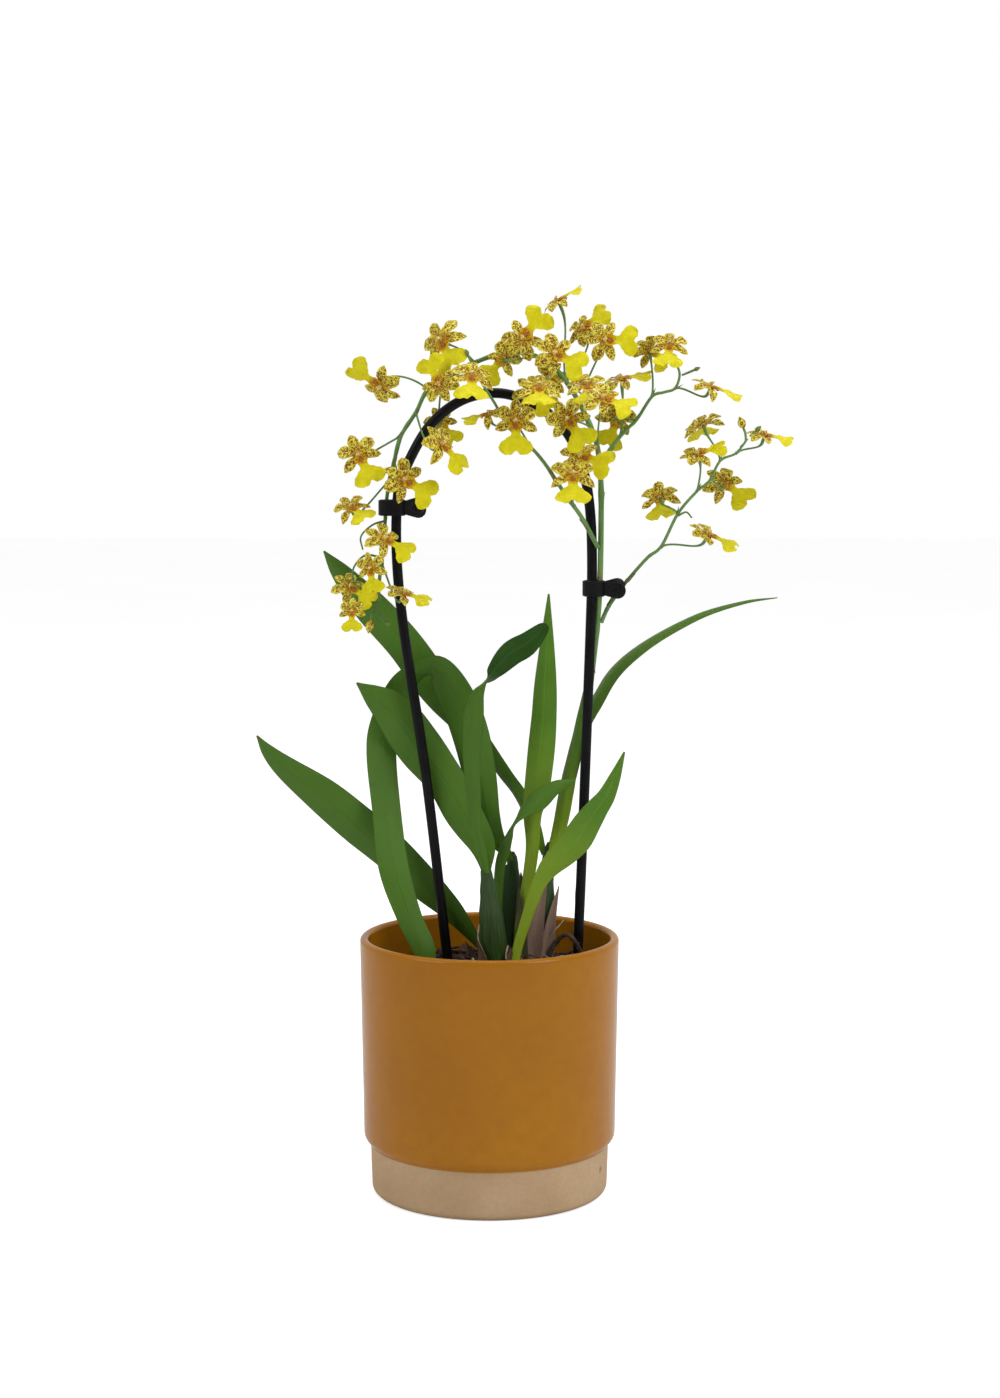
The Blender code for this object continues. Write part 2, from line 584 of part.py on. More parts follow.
# Each flower: its stem, how far along the stem its stalk starts, its place, the way it faces,
# the way its lip points, and its size.
FLOWERS = {
    "flower_01": ("flower_spike", 0.995, (-72, -23, 317.5), (-1, -8, 2), (0, -2, -8), 0.62),
    "flower_02": ("flower_spike", 0.995, (-74, -11, 329), (3, -6, 5), (7, -1, -5), 0.85),
    "flower_03": ("flower_spike", 0.962, (-45.5, -16, 326), (2.5, -3, 7), (8, -1, -3), 0.85),
    "flower_04": ("flower_spike", 0.959, (-62, -22, 340), (-3, -7, 1), (1, -2, -8), 0.75),
    "flower_05": ("flower_spike", 0.944, (-55.5, -15, 354.5), (3, -5, 5), (8, -1, -4), 0.95),
    "flower_06": ("flower_spike", 0.878, (-73, -4, 371), (-1, -5, 6), (5, -4, -6), 0.85),
    "flower_07": ("flower_spike", 0.858, (-44.5, -18, 386), (2, -8, 2), (7, -1, -4), 1.00),
    "flower_08": ("flower_spike", 0.832, (-69, -7, 399), (0, -7, 2), (4, -1, -8), 1.00),
    "flower_09": ("flower_spike", 0.804, (-25, -22, 404.5), (5, -5, 4), (6, 0, -8), 1.00),
    "flower_10": ("flower_spike", 0.778, (-57.5, -4, 436), (-3, -5, -4), (-6, 1, 6), 1.05),
    "flower_11": ("flower_spike", 0.750, (-26, -16, 436), (-3, -8, 2), (-4, -1, 7), 0.90),
    "flower_12": ("flower_spike", 0.724, (-25, 0, 459), (-4, -6, 2), (4, -2, -6), 1.12),
    "flower_13": ("branch_left", 0.935, (-9, -22, 440), (1, -6, 6), (0, -6, -5), 1.05),
    "flower_14": ("flower_spike", 0.673, (18, -10, 460), (-1, -8, 2), (5, -1, 7), 1.00),
    "flower_15": ("flower_spike", 0.645, (34, -18, 452), (2, -8, 2), (7, -2, -3), 1.00),
    "flower_16": ("flower_spike", 0.620, (36.5, 6, 480), (-4, -2, 8), (8, -1, 4), 0.80),
    "flower_17": ("flower_spike", 0.607, (50.5, 8, 465.5), (-3, -5, 4), (7, -1, 6), 0.90),
    "flower_18": ("flower_spike", 0.592, (61, -8, 459), (0, -8, 2), (8, -1, 0), 0.95),
    "flower_19": ("branch_upper", 0.608, (85.5, 8, 454), (0, 6, 4), (6, 4, -4), 0.85),
    "flower_20": ("branch_upper", 1.000, (95, -6, 456.5), (0, -6, 5), (-1, -5, -6), 0.90),
    "flower_21": ("branch_upper", 0.782, (117, -4, 434.5), (3, -2, 7), (9, -1, -4), 0.95),
    "flower_22": ("flower_spike", 0.637, (26, -28, 434), (0, -5, 7), (0, -7, -4), 1.00),
    "flower_23": ("flower_spike", 0.612, (51, -18, 435), (0, -5, 7), (1, -7, -4), 1.00),
    "flower_24": ("branch_upper", 0.249, (70, 2, 438.5), (-1, -3, 8), (8, -1, 1), 0.90),
    "flower_25": ("flower_spike", 0.545, (59, -37, 428), (1, -6, 6), (6, -3, -1), 0.95),
    "flower_26": ("branch_upper", 0.406, (68, 12, 418), (3, 7, 1), (-3, 1, -7), 0.95),
    "flower_27": ("branch_left", 0.546, (14, -22, 417), (0, -9, 1), (0, -1, -8), 1.00),
    "flower_28": ("branch_left", 0.652, (0, -5, 420), (-2, -3, 7), (-8, -1, -3), 0.80),
    "flower_29": ("flower_spike", 0.565, (41, -26, 418), (-1, -8, 1), (4, -1, -6), 1.00),
    "flower_30": ("flower_spike", 0.520, (48, -17, 398), (-1, -7, 4), (7, -3, -2), 1.00),
    "flower_31": ("branch_left", 0.224, (43.5, -33, 389), (0, -7, 5), (0, -5, -7), 1.05),
    "flower_32": ("branch_lower", 0.855, (113, -4, 415), (-2.5, 4, 7), (1, 7, -4), 1.00),
    "flower_33": ("branch_lower", 0.698, (110, -14, 399), (-2, -4, 7), (8, -1, 3), 0.85),
    "flower_34": ("branch_lower", 0.580, (90.5, -4, 376.5), (-1, 6, 5), (1, 5, -6), 0.95),
    "flower_35": ("branch_lower", 0.769, (125, 4, 383.5), (2, 6, 4), (6, 1, -5), 1.00),
    "flower_36": ("branch_lower", 0.926, (146, 0, 409), (2, -3, 8), (8, -1, -2), 0.85),
    "flower_37": ("branch_lower", 0.430, (116, -6, 356.5), (3.5, -3, 7), (8, -1, -4.2), 0.95),
}


ARCHED_STALKS = ("flower_10", "flower_12")


def flower_frame(name):
    """Place, facing direction and lip direction of a flower, the two directions square to each other."""
    _, _, place, face, lip, size = FLOWERS[name]
    face, lip = Vector(face).normalized(), Vector(lip)
    lip = (lip - face * lip.dot(face)).normalized()
    return Vector(trained([place])[0]), face, lip, size


def pedicel_route(name, stem_route):
    """A flower's own stalk: it leaves the stem, bends, and meets the flower square from behind."""
    stem_name, share, *_ = FLOWERS[name]
    place, face, _, size = flower_frame(name)
    start, along = point_at(stem_route, share)
    end = place - face * (OVARY_LENGTH * size + PEDICEL_GAP)
    span = (end - start).length
    out = (end - start).normalized()
    arch = 0.9 if name in ARCHED_STALKS else 0.15
    first = start + (out * 0.75 + along * 0.25 + Vector((0, 0, arch))) * span * 0.35
    neck = end - face
    last = neck - face * span * 0.3
    route = []
    for k in range(PEDICEL_STEPS + 1):
        t = k / PEDICEL_STEPS
        early, late = start * (1 - t) + first * 3 * t, last * 3 * (1 - t) + neck * t
        route.append(early * (1 - t) ** 2 + late * t ** 2)
    return [*route, end]


def stem(name):
    """A stem and the stalks that grow from it, as one body."""
    foot_radius, tip_radius, rows = STEMS[name]
    route = smooth_route(trained(rows), 2)
    count = len(route) - 1
    radii = [mix(foot_radius, tip_radius, (k / count) ** 0.8) for k in range(count + 1)]
    if name != "flower_spike":
        radii[0] *= 0.6
    made = new_object(name, mesh_from(name, *tube_shape(route, radii, STEM_SIDES)), "stem")
    shapes = []
    for flower in [n for n in FLOWERS if FLOWERS[n][0] == name]:
        path = pedicel_route(flower, route)
        shapes.append(tube_shape(path, [PEDICEL_RADIUS] * len(path), PEDICEL_SIDES))
    stalks = new_object(name + "_stalks", mesh_from(name + "_stalks", *joined(shapes)), "stem")
    boolean(made, helper(stalks), "UNION")
    return made


def stem_cutter():
    foot_radius, _, rows = STEMS["flower_spike"]
    route = [Vector(row) for row in trained(rows[:3])]
    route[0] = route[0] + (route[0] - route[1]).normalized() * SEAT_GAP
    shape = tube_shape(route, [foot_radius + SEAT_GAP] * 3, STEM_SIDES)
    return helper(new_object("spike_cutter", mesh_from("spike_cutter", *shape), "stem"))


def flower_mesh():
    """Five tepals and a two-lobed lip round a hub, face towards +Z and lip towards -Y."""
    half = FLOWER_THICKNESS / 2
    # Each lobe: its angle, its cross-sections as (distance out, half width, height), and its tip.
    lobes = [
        (angle, [(0.55 * TEPAL_LENGTH, TEPAL_WIDTH / 2, 0.35 * tilt)], (TEPAL_LENGTH, 0.0, tilt))
        for angle, tilt in zip(TEPAL_ANGLES, TEPAL_TILTS)
    ]
    lobes.append((LIP_ANGLE, [
        (0.36 * LIP_LENGTH, LIP_CLAW_WIDTH / 2, 0.1 * LIP_TILT),
        (0.62 * LIP_LENGTH, LIP_WIDTH / 2, 0.5 * LIP_TILT),
        (LIP_LENGTH, 0.3 * LIP_WIDTH, LIP_TILT),
    ], (0.9 * LIP_LENGTH, 0.0, LIP_TILT)))
    lobes.sort(key=lambda lobe: lobe[0] % 360)
    points, faces, rim = [Vector((0, 0, 2 * half))], [], []

    def pair(angle, out, across, height):
        """Adds the upper and the lower point at one place of a lobe; returns their numbers."""
        a = radians(angle)
        spot = Vector((out * cos(a) - across * sin(a), out * sin(a) + across * cos(a), height))
        points.extend((spot + Vector((0, 0, half)), spot - Vector((0, 0, half))))
        return len(points) - 2, len(points) - 1

    for angle, sections, tip in lobes:
        right = pair(angle, 0.9 * HUB_RADIUS, -0.38 * HUB_RADIUS, 0)
        left = pair(angle, 0.9 * HUB_RADIUS, 0.38 * HUB_RADIUS, 0)
        rim += [right, left]
        for out, across, height in sections:
            next_right, next_left = pair(angle, out, -across, height), pair(angle, out, across, height)
            faces += [(right[0], next_right[0], next_left[0], left[0]),
                      (right[1], left[1], next_left[1], next_right[1]),
                      (right[0], right[1], next_right[1], next_right[0]),
                      (left[0], next_left[0], next_left[1], left[1])]
            right, left = next_right, next_left
        end = pair(angle, *tip)
        faces += [(right[0], end[0], left[0]), (right[1], left[1], end[1]),
                  (right[0], right[1], end[1], end[0]), (left[0], end[0], end[1], left[1])]
    ovary = []
    for k, (first, second) in enumerate(zip(rim, [*rim[1:], rim[0]])):
        faces.append((0, first[0], second[0]))
        if k % 2:
            faces.append((first[0], first[1], second[1], second[0]))
        a = atan2(points[first[1]].y, points[first[1]].x)
        points.append(Vector((OVARY_RADIUS * cos(a), OVARY_RADIUS * sin(a), -OVARY_LENGTH)))
        ovary.append(len(points) - 1)
    for k, n in zip(range(len(rim)), [*range(1, len(rim)), 0]):
        faces.append((rim[k][1], ovary[k], ovary[n], rim[n][1]))
    faces.append(tuple(ovary))
    return mesh_from("flower", points, faces)


def flowers():
    shared = flower_mesh()
    shared.transform(Matrix.Scale(MM, 4))
    shared.materials.append(material("petal"))
    for name in FLOWERS:
        place, face, lip, size = flower_frame(name)
        made = bpy.data.objects.new(name, shared)
        bpy.context.scene.collection.objects.link(made)
        made.location = place * MM
        turn = Matrix((face.cross(lip), -lip, face)).transposed()
        made.rotation_euler = turn.to_euler()
        made.scale = (size, size, size)


# ======================================================================================
# Assembly
# ======================================================================================

def main():
    clear_scene()
    pot()
    pockets = [hoop(grow=SEAT_GAP), stem_cutter()]
    pockets += [bulb(name, grow=SEAT_GAP) for name in BULBS]
    pockets += [leaf(name, grow=SEAT_GAP) for name in ROOTED_LEAVES]
    bark(pockets)
    hoop()
    hoop_route = smooth_route(raised(HOOP_ROUTE), 2)
    spike_route = smooth_route(trained(STEMS["flower_spike"][2]), 2)
    for name, (side, planted_height) in CLIP_PLACES.items():
        height = planted_height + LIFT
        on_hoop = min((p for p in hoop_route if p.x * side > 0), key=lambda p: abs(p.z - height))
        on_stem = min((p for p in spike_route if p.x * side > 0), key=lambda p: abs(p.z - height))
        clip(name, Vector((on_hoop.x, 0, height)), on_stem)
    root_loop()
    for name in BULBS:
        bulb(name)
    for name in LEAVES:
        leaf(name)
    for name in STEMS:
        stem(name)
    flowers()


main()
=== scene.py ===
"""The looks of a potted Oncidium orchid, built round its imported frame.

Lengths are millimetres in this file, and MM turns them into metres. The frame: +Z is up, +X is to the
viewer's right, -Y is the side that is looked at, and the origin is under the middle of the pot.
"""

from math import atan2, cos, exp, hypot, pi, radians, sin
from random import Random

import bmesh
import bpy
from mathutils import Matrix, Vector, noise


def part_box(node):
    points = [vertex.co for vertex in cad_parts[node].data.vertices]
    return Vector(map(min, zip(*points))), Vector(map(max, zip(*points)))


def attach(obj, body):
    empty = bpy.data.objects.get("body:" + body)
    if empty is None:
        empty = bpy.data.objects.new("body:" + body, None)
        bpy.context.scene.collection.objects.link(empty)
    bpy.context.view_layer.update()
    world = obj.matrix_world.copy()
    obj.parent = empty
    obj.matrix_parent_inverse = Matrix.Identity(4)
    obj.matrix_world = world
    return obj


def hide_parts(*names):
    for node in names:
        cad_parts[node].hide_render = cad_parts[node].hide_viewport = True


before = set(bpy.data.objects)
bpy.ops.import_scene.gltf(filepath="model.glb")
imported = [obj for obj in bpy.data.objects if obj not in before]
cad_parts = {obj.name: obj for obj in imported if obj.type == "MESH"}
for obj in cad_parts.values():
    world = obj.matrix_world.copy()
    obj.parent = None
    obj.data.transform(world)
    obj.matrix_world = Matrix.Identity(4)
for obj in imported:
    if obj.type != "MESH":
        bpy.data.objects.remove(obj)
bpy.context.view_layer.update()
MM = 0.001

# ---- The solids' own sizes, as in the model ----
POT_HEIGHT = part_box("ceramic_pot")[1].z / MM
RIM_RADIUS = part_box("ceramic_pot")[1].y / MM
SHOULDER_RADIUS = 68.3
FOOT_RADIUS = 64.8
FOOT_BASE_RADIUS = 64.0
FOOT_HEIGHT = 27.0
SHOULDER_ROUND = 6.0
FOOT_ROUND = 4.0
WALL = 4.8
FLOOR = 8.0
INNER_ROUND = 7.0
SEAT_GAP = 0.35
BARK_LEVEL = 120.0
BARK_MOUND = 8.0
MOUND_SPREAD = 24.0
CROWN = (17.0, -2.0)
HOOP_RADIUS = 2.75
HOOP_ROUTE = [
    (-13, 0, 34), (-23, 0, 129), (-34.5, 0, 230), (-45, 0, 300), (-49.3, 0, 343), (-48.6, 0, 378),
    (-43, 0, 395), (-31, 0, 415), (-14, 0, 428), (6, 0, 431.5), (26, 0, 424.5), (41, 0, 411),
    (49, 0, 394), (53.3, 0, 373), (54.8, 0, 343), (53.9, 0, 300), (50, 0, 186), (48, 0, 134),
    (44.5, 0, 34),
]


# ======================================================================================
# Shapes
# ======================================================================================

def mix(a, b, t):
    return a + (b - a) * t


def ease(t):
    t = min(1.0, max(0.0, t))
    return t * t * (3 - 2 * t)


def through(pairs, t):
    """Smooth value at t between (t, value) pairs."""
    for (t0, v0), (t1, v1) in zip(pairs, pairs[1:]):
        if t <= t1:
            return mix(v0, v1, ease((t - t0) / (t1 - t0)))
    return pairs[-1][1]


def smooth_route(rows, per_span):
    """Catmull-Rom through rows of equal length; each row may hold more than a place."""
    rows = [Vector(row) for row in rows]
    rows = [rows[0] * 2 - rows[1], *rows, rows[-1] * 2 - rows[-2]]
    found = []
    for a, b, c, d in zip(rows, rows[1:], rows[2:], rows[3:]):
        for step in range(per_span):
            t = step / per_span
            found.append(
                b + (c - a) * (t / 2) + (a * 2 - b * 5 + c * 4 - d) * (t * t / 2)
                + (b * 3 - a - c * 3 + d) * (t ** 3 / 2)
            )
    return [*found, rows[-2]]


def point_at(route, share):
    """The point that lies this share of the way along a route, and the direction there."""
    lengths = [(b - a).length for a, b in zip(route, route[1:])]
    left = share * sum(lengths)
    for a, b, length in zip(route, route[1:], lengths):
        if left <= length:
            return a.lerp(b, left / length), (b - a).normalized()
        left -= length
    return route[-1].copy(), (route[-1] - route[-2]).normalized()


class Shape:
    """Points, faces, a "lay" for each point that materials read, and the number of its material."""

    def __init__(self, points, faces, lays, look=0):
        self.points, self.faces, self.lays, self.look = points, faces, lays, look

    def moved(self, matrix):
        return Shape([matrix @ p for p in self.points], self.faces, self.lays, self.look)


def piece(name, shapes, looks, nodes=(), sharp=50):
    """Makes one object of several shapes, hides the solids it stands in for, and rides it on the row's body.
    """
    points, faces, lays, numbers = [], [], [], []
    for shape in shapes:
        start = len(points)
        points += [p * MM for p in shape.points]
        lays += shape.lays
        faces += [tuple(start + v for v in face) for face in shape.faces]
        numbers += shape.look if isinstance(shape.look, list) else [shape.look] * len(shape.faces)
    mesh = bpy.data.meshes.new(name)
    mesh.from_pydata([tuple(p) for p in points], [], faces)
    work = bmesh.new()
    work.from_mesh(mesh)
    bmesh.ops.recalc_face_normals(work, faces=work.faces)
    work.to_mesh(mesh)
    work.free()
    layer = mesh.attributes.new("lay", "FLOAT_VECTOR", "POINT")
    layer.data.foreach_set("vector", [value for lay in lays for value in lay])
    for look in looks:
        mesh.materials.append(look)
    mesh.polygons.foreach_set("material_index", numbers)
    mesh.shade_smooth()
    mesh.set_sharp_from_angle(angle=radians(sharp))
    obj = bpy.data.objects.new(name, mesh)
    bpy.context.scene.collection.objects.link(obj)
    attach(obj, "root")
    if nodes:
        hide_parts(*nodes)
    return obj


def directions_of(route):
    steps = [(b - a).normalized() for a, b in zip(route, route[1:])]
    return [steps[0], *[(a + b).normalized() for a, b in zip(steps, steps[1:])], steps[-1]]


def capped_rings(rings, sides):
    """The faces over rings of points that follow one another, with a flat cap on each end."""
    faces = []
    for low in range(0, (rings - 1) * sides, sides):
        high = low + sides
        faces += [(low + k, low + (k + 1) % sides, high + (k + 1) % sides, high + k) for k in range(sides)]
    last = (rings - 1) * sides
    return [*faces, tuple(range(sides))[::-1], tuple(range(last, last + sides))]


def tube(route, radii, sides, look=0, seed=0.0):
    """A closed tube along a route. Its lay is angle, millimetres along it, seed."""
    directions = directions_of(route)
    side = directions[0].orthogonal().normalized()
    points, lays, travelled = [], [], 0.0
    for index, (centre, along, radius) in enumerate(zip(route, directions, radii)):
        side = (side - along * side.dot(along)).normalized()
        other = along.cross(side)
        travelled += (centre - route[index - 1]).length if index else 0.0
        for k in range(sides):
            angle = 2 * pi * k / sides
            points.append(centre + (side * cos(angle) + other * sin(angle)) * radius)
            lays.append((k / sides, travelled, seed))
    return Shape(points, capped_rings(len(route), sides), lays, look)


def sheet(columns, rows, place, thickness, lay, look=0):
    """A thin closed sheet. place(u, v) gives its middle, u from -1 to 1 and v from 0 to 1."""
    middle = [[place(mix(-1, 1, i / columns), j / rows) for i in range(columns + 1)] for j in range(rows + 1)]
    points, lays, faces = [], [], []
    across = columns + 1
    for front in (1, -1):
        for j in range(rows + 1):
            for i in range(across):
                right = middle[j][min(i + 1, columns)] - middle[j][max(i - 1, 0)]
                ahead = middle[min(j + 1, rows)][i] - middle[max(j - 1, 0)][i]
                normal = right.cross(ahead)
                normal = normal.normalized() if normal.length > 1e-9 else Vector((0, 0, 1))
                u, v = mix(-1, 1, i / columns), j / rows
                edge = 1 - 0.75 * max(abs(u) ** 6, v ** 12)
                points.append(middle[j][i] + normal * (front * thickness / 2 * edge))
                lays.append(lay(u, v, front))
    back = across * (rows + 1)
    for j in range(rows):
        for i in range(columns):
            a = j * across + i
            faces.append((a, a + 1, a + across + 1, a + across))
            faces.append((back + a, back + a + across, back + a + across + 1, back + a + 1))
        for i, step in ((0, 1), (columns, -1)):
            a = j * across + i
            faces.append((a, a + across, back + a + across, back + a)[::step])
    for j, step in ((0, -1), (rows, 1)):
        for i in range(columns):
            a = j * across + i
            faces.append((a, a + 1, back + a + 1, back + a)[::step])
    return Shape(points, faces, lays, look)


def turned(profile, steps, look=None):
    """Revolves an (r, z) profile whose two ends lie on the axis. look(r, z) numbers each band's material."""
    points, rings, faces, looks = [], [], [], []
    for r, z in profile:
        count = 1 if r < 1e-6 else steps
        rings.append(list(range(len(points), len(points) + count)))
        for k in range(count):
            points.append(Vector((r * cos(2 * pi * k / steps), r * sin(2 * pi * k / steps), z)))
    for low, high, (r0, z0), (r1, z1) in zip(rings, rings[1:], profile, profile[1:]):
        for k in range(steps):
            n = (k + 1) % steps
            face = (low[k % len(low)], low[n % len(low)], high[n % len(high)], high[k % len(high)])
            faces.append(tuple(dict.fromkeys(face)))
            looks.append(look((r0 + r1) / 2, (z0 + z1) / 2) if look else 0)
    return Shape(points, faces, [(atan2(p.y, p.x), p.z, hypot(p.x, p.y)) for p in points], looks)


def arc(centre_r, centre_z, radius, start, end, steps):
    angles = [radians(mix(start, end, k / steps)) for k in range(steps + 1)]
    return [(centre_r + radius * cos(a), centre_z + radius * sin(a)) for a in angles]


def lump(centre, sizes, turn, seed, look=0, rough=0.25, level=1, tone=0.0):
    """An irregular closed chunk, stretched by sizes and turned by an Euler-like vector."""
    work = bmesh.new()
    bmesh.ops.create_icosphere(work, subdivisions=level, radius=1.0)
    matrix = Matrix.Rotation(turn[2], 3, "Z") @ Matrix.Rotation(turn[1], 3, "Y")
    matrix = matrix @ Matrix.Rotation(turn[0], 3, "X")
    points = []
    for vertex in work.verts:
        p = vertex.co * (1 + rough * noise.noise(vertex.co * 1.7 + Vector((seed, 2 * seed, 0))) * 2)
        points.append(centre + matrix @ Vector((p.x * sizes[0], p.y * sizes[1], p.z * sizes[2])))
    faces = [tuple(v.index for v in face.verts) for face in work.faces]
    work.free()
    return Shape(points, faces, [(tone, seed, 0.0)] * len(points), look)


# ======================================================================================
# Material nodes
# ======================================================================================

class Look:
    """A Principled material with short calls for the nodes used here. Colours are linear."""

    def __init__(self, name, roughness=0.5, **settings):
        self.material = bpy.data.materials.new(name)
        self.material.use_nodes = True
        self.tree = self.material.node_tree
        self.shader = self.tree.nodes["Principled BSDF"]
        self.shader.inputs["Roughness"].default_value = roughness
        for socket, value in settings.items():
            self.shader.inputs[socket.replace("_", " ")].default_value = value
        self.height = None

    def add(self, kind, **inputs):
        node = self.tree.nodes.new("ShaderNode" + kind)
        for key, value in inputs.items():
            if hasattr(node, key):
                setattr(node, key, value)
                continue
            self.wire(value, node.inputs[key.replace("_", " ")])
        return node

    def wire(self, value, socket):
        if isinstance(value, bpy.types.NodeSocket):
            self.tree.links.new(value, socket)
        else:
            socket.default_value = value

    def lay(self):
        """The x, y and z of the piece's lay."""
        node = self.add("Attribute", attribute_name="lay")
        split = self.add("SeparateXYZ", Vector=node.outputs["Vector"])
        return split.outputs[0], split.outputs[1], split.outputs[2]

    def place(self):
        return self.add("TexCoord").outputs["Object"]

    def vector(self, x, y, z):
        return self.add("CombineXYZ", X=x, Y=y, Z=z).outputs[0]

    def math(self, operation, a, b=0.0, c=0.0):
        node = self.add("Math", operation=operation)
        for socket, value in zip(node.inputs, (a, b, c)):
            self.wire(value, socket)
        return node.outputs[0]

    def times(self, a, b):
        return self.math("MULTIPLY", a, b)

    def noise(self, where, scale, detail=3.0, rough=0.5):
        node = self.add("TexNoise", Vector=where, Scale=scale, Detail=detail, Roughness=rough)
        return node.outputs["Fac"]

    def cells(self, where, scale):
        return self.add("TexVoronoi", Vector=where, Scale=scale).outputs["Distance"]

    def ramp(self, value, *stops):
        """Maps a value to a grey or colour through (place, grey or colour) stops."""
        node = self.add("ValToRGB")
        self.wire(value, node.inputs[0])
        ramp = node.color_ramp
        while len(ramp.elements) < len(stops):
            ramp.elements.new(0.5)
        for element, (where, colour) in zip(ramp.elements, stops):
            element.position = where
            element.color = (colour, colour, colour, 1) if isinstance(colour, (int, float)) else (*colour, 1)
        return node.outputs[0]

    def blend(self, share, a, b):
        node = self.add("Mix", data_type="RGBA")
        sockets = [s for s in node.inputs if s.enabled]
        for socket, value in zip(sockets, (share, a, b)):
            self.wire((*value, 1) if isinstance(value, tuple) and len(value) == 3 else value, socket)
        return next(s for s in node.outputs if s.enabled)

    def colour(self, value):
        self.wire((*value, 1) if isinstance(value, tuple) else value, self.shader.inputs["Base Color"])

    def rough(self, value):
        self.wire(value, self.shader.inputs["Roughness"])

    def bump(self, height, distance, strength=1.0):
        """Adds relief, in metres, on top of any that is already there."""
        node = self.add("Bump", Strength=strength, Distance=distance, Height=height)
        if self.height:
            self.tree.links.new(self.height, node.inputs["Normal"])
        self.height = node.outputs[0]
        self.tree.links.new(self.height, self.shader.inputs["Normal"])


def glaze_look():
    look = Look("glaze", 0.16, Specular_IOR_Level=0.2)
    where = look.place()
    broad = look.noise(where, 9.0, 2.0)
    fine = look.noise(where, 140.0, 4.0, 0.6)
    body = look.ramp(broad, (0.3, (0.37, 0.140, 0.0045)), (0.7, (0.45, 0.180, 0.006)))
    body = look.blend(look.ramp(fine, (0.35, 0.25), (0.65, 0.0)), body, (0.32, 0.112, 0.003))
    specks = look.ramp(look.cells(where, 75.0), (0.035, 1.0), (0.06, 0.0))
    chance = look.ramp(look.noise(where, 23.0, 1.0), (0.6, 0.0), (0.64, 1.0))
    spots = look.times(specks, chance)
    look.colour(look.blend(spots, body, (0.07, 0.025, 0.006)))
    look.rough(look.ramp(fine, (0.3, 0.13), (0.75, 0.24)))
    look.bump(look.noise(where, 60.0, 2.0), 0.0004, 0.25)
    look.bump(fine, 0.0001, 0.2)
    return look.material


def clay_look():
    look = Look("bare_clay", 0.85)
    where = look.place()
    _, height, _ = look.lay()
    grain = look.noise(where, 420.0, 5.0, 0.7)
    broad = look.noise(where, 26.0, 3.0)
    body = look.ramp(broad, (0.3, (0.50, 0.335, 0.185)), (0.7, (0.60, 0.425, 0.255)))
    body = look.blend(look.ramp(grain, (0.35, 0.3), (0.7, 0.0)), body, (0.36, 0.225, 0.115))
    stains = look.ramp(look.cells(where, 48.0), (0.05, 1.0), (0.13, 0.0))
    chance = look.ramp(look.noise(where, 15.0, 1.0), (0.6, 0.0), (0.66, 0.8))
    body = look.blend(look.times(stains, chance), body, (0.16, 0.07, 0.03))
    foot = look.ramp(look.times(height, 0.05), (0.0, 0.5), (0.16, 0.0))
    look.colour(look.blend(foot, body, (0.30, 0.19, 0.11)))
    rings = look.math("SINE", look.times(height, 7.0))
    look.bump(look.math("MULTIPLY_ADD", rings, 0.15, grain), 0.0003, 0.5)
    return look.material


def bark_look():
    look = Look("bark", 0.95)
    tone, _, _ = look.lay()
    where = look.place()
    grain = look.noise(where, 260.0, 5.0, 0.7)
    dark = look.ramp(grain, (0.3, (0.008, 0.004, 0.003)), (0.7, (0.030, 0.012, 0.007)))
    light = look.ramp(grain, (0.3, (0.05, 0.017, 0.008)), (0.7, (0.17, 0.06, 0.026)))
    look.colour(look.blend(tone, dark, light))
    look.bump(grain, 0.001, 0.9)
    return look.material


def root_look(name, dark, light):
    look = Look(name, 0.8)
    _, along, seed = look.lay()
    where = look.place()
    mottle = look.noise(where, 300.0, 4.0, 0.7)
    look.colour(look.ramp(mottle, (0.35, dark), (0.7, light)))
    look.bump(mottle, 0.0005, 0.8)
    return look.material


def wire_look():
    look = Look("hoop_wire", 0.36, Specular_IOR_Level=0.14)
    where = look.place()
    wear = look.noise(where, 120.0, 4.0, 0.6)
    look.colour(look.ramp(wear, (0.3, (0.0025, 0.0025, 0.003)), (0.75, (0.007, 0.007, 0.008))))
    look.rough(look.ramp(wear, (0.3, 0.3), (0.7, 0.5)))
    look.bump(look.noise(where, 500.0, 3.0), 0.0001, 0.5)
    return look.material


def clip_look():
    look = Look("clip", 0.42, Specular_IOR_Level=0.16)
    where = look.place()
    grain = look.noise(where, 700.0, 3.0)
    look.colour(look.ramp(grain, (0.3, (0.004, 0.004, 0.0045)), (0.7, (0.009, 0.009, 0.010))))
    look.bump(grain, 0.00015, 0.5)
    return look.material


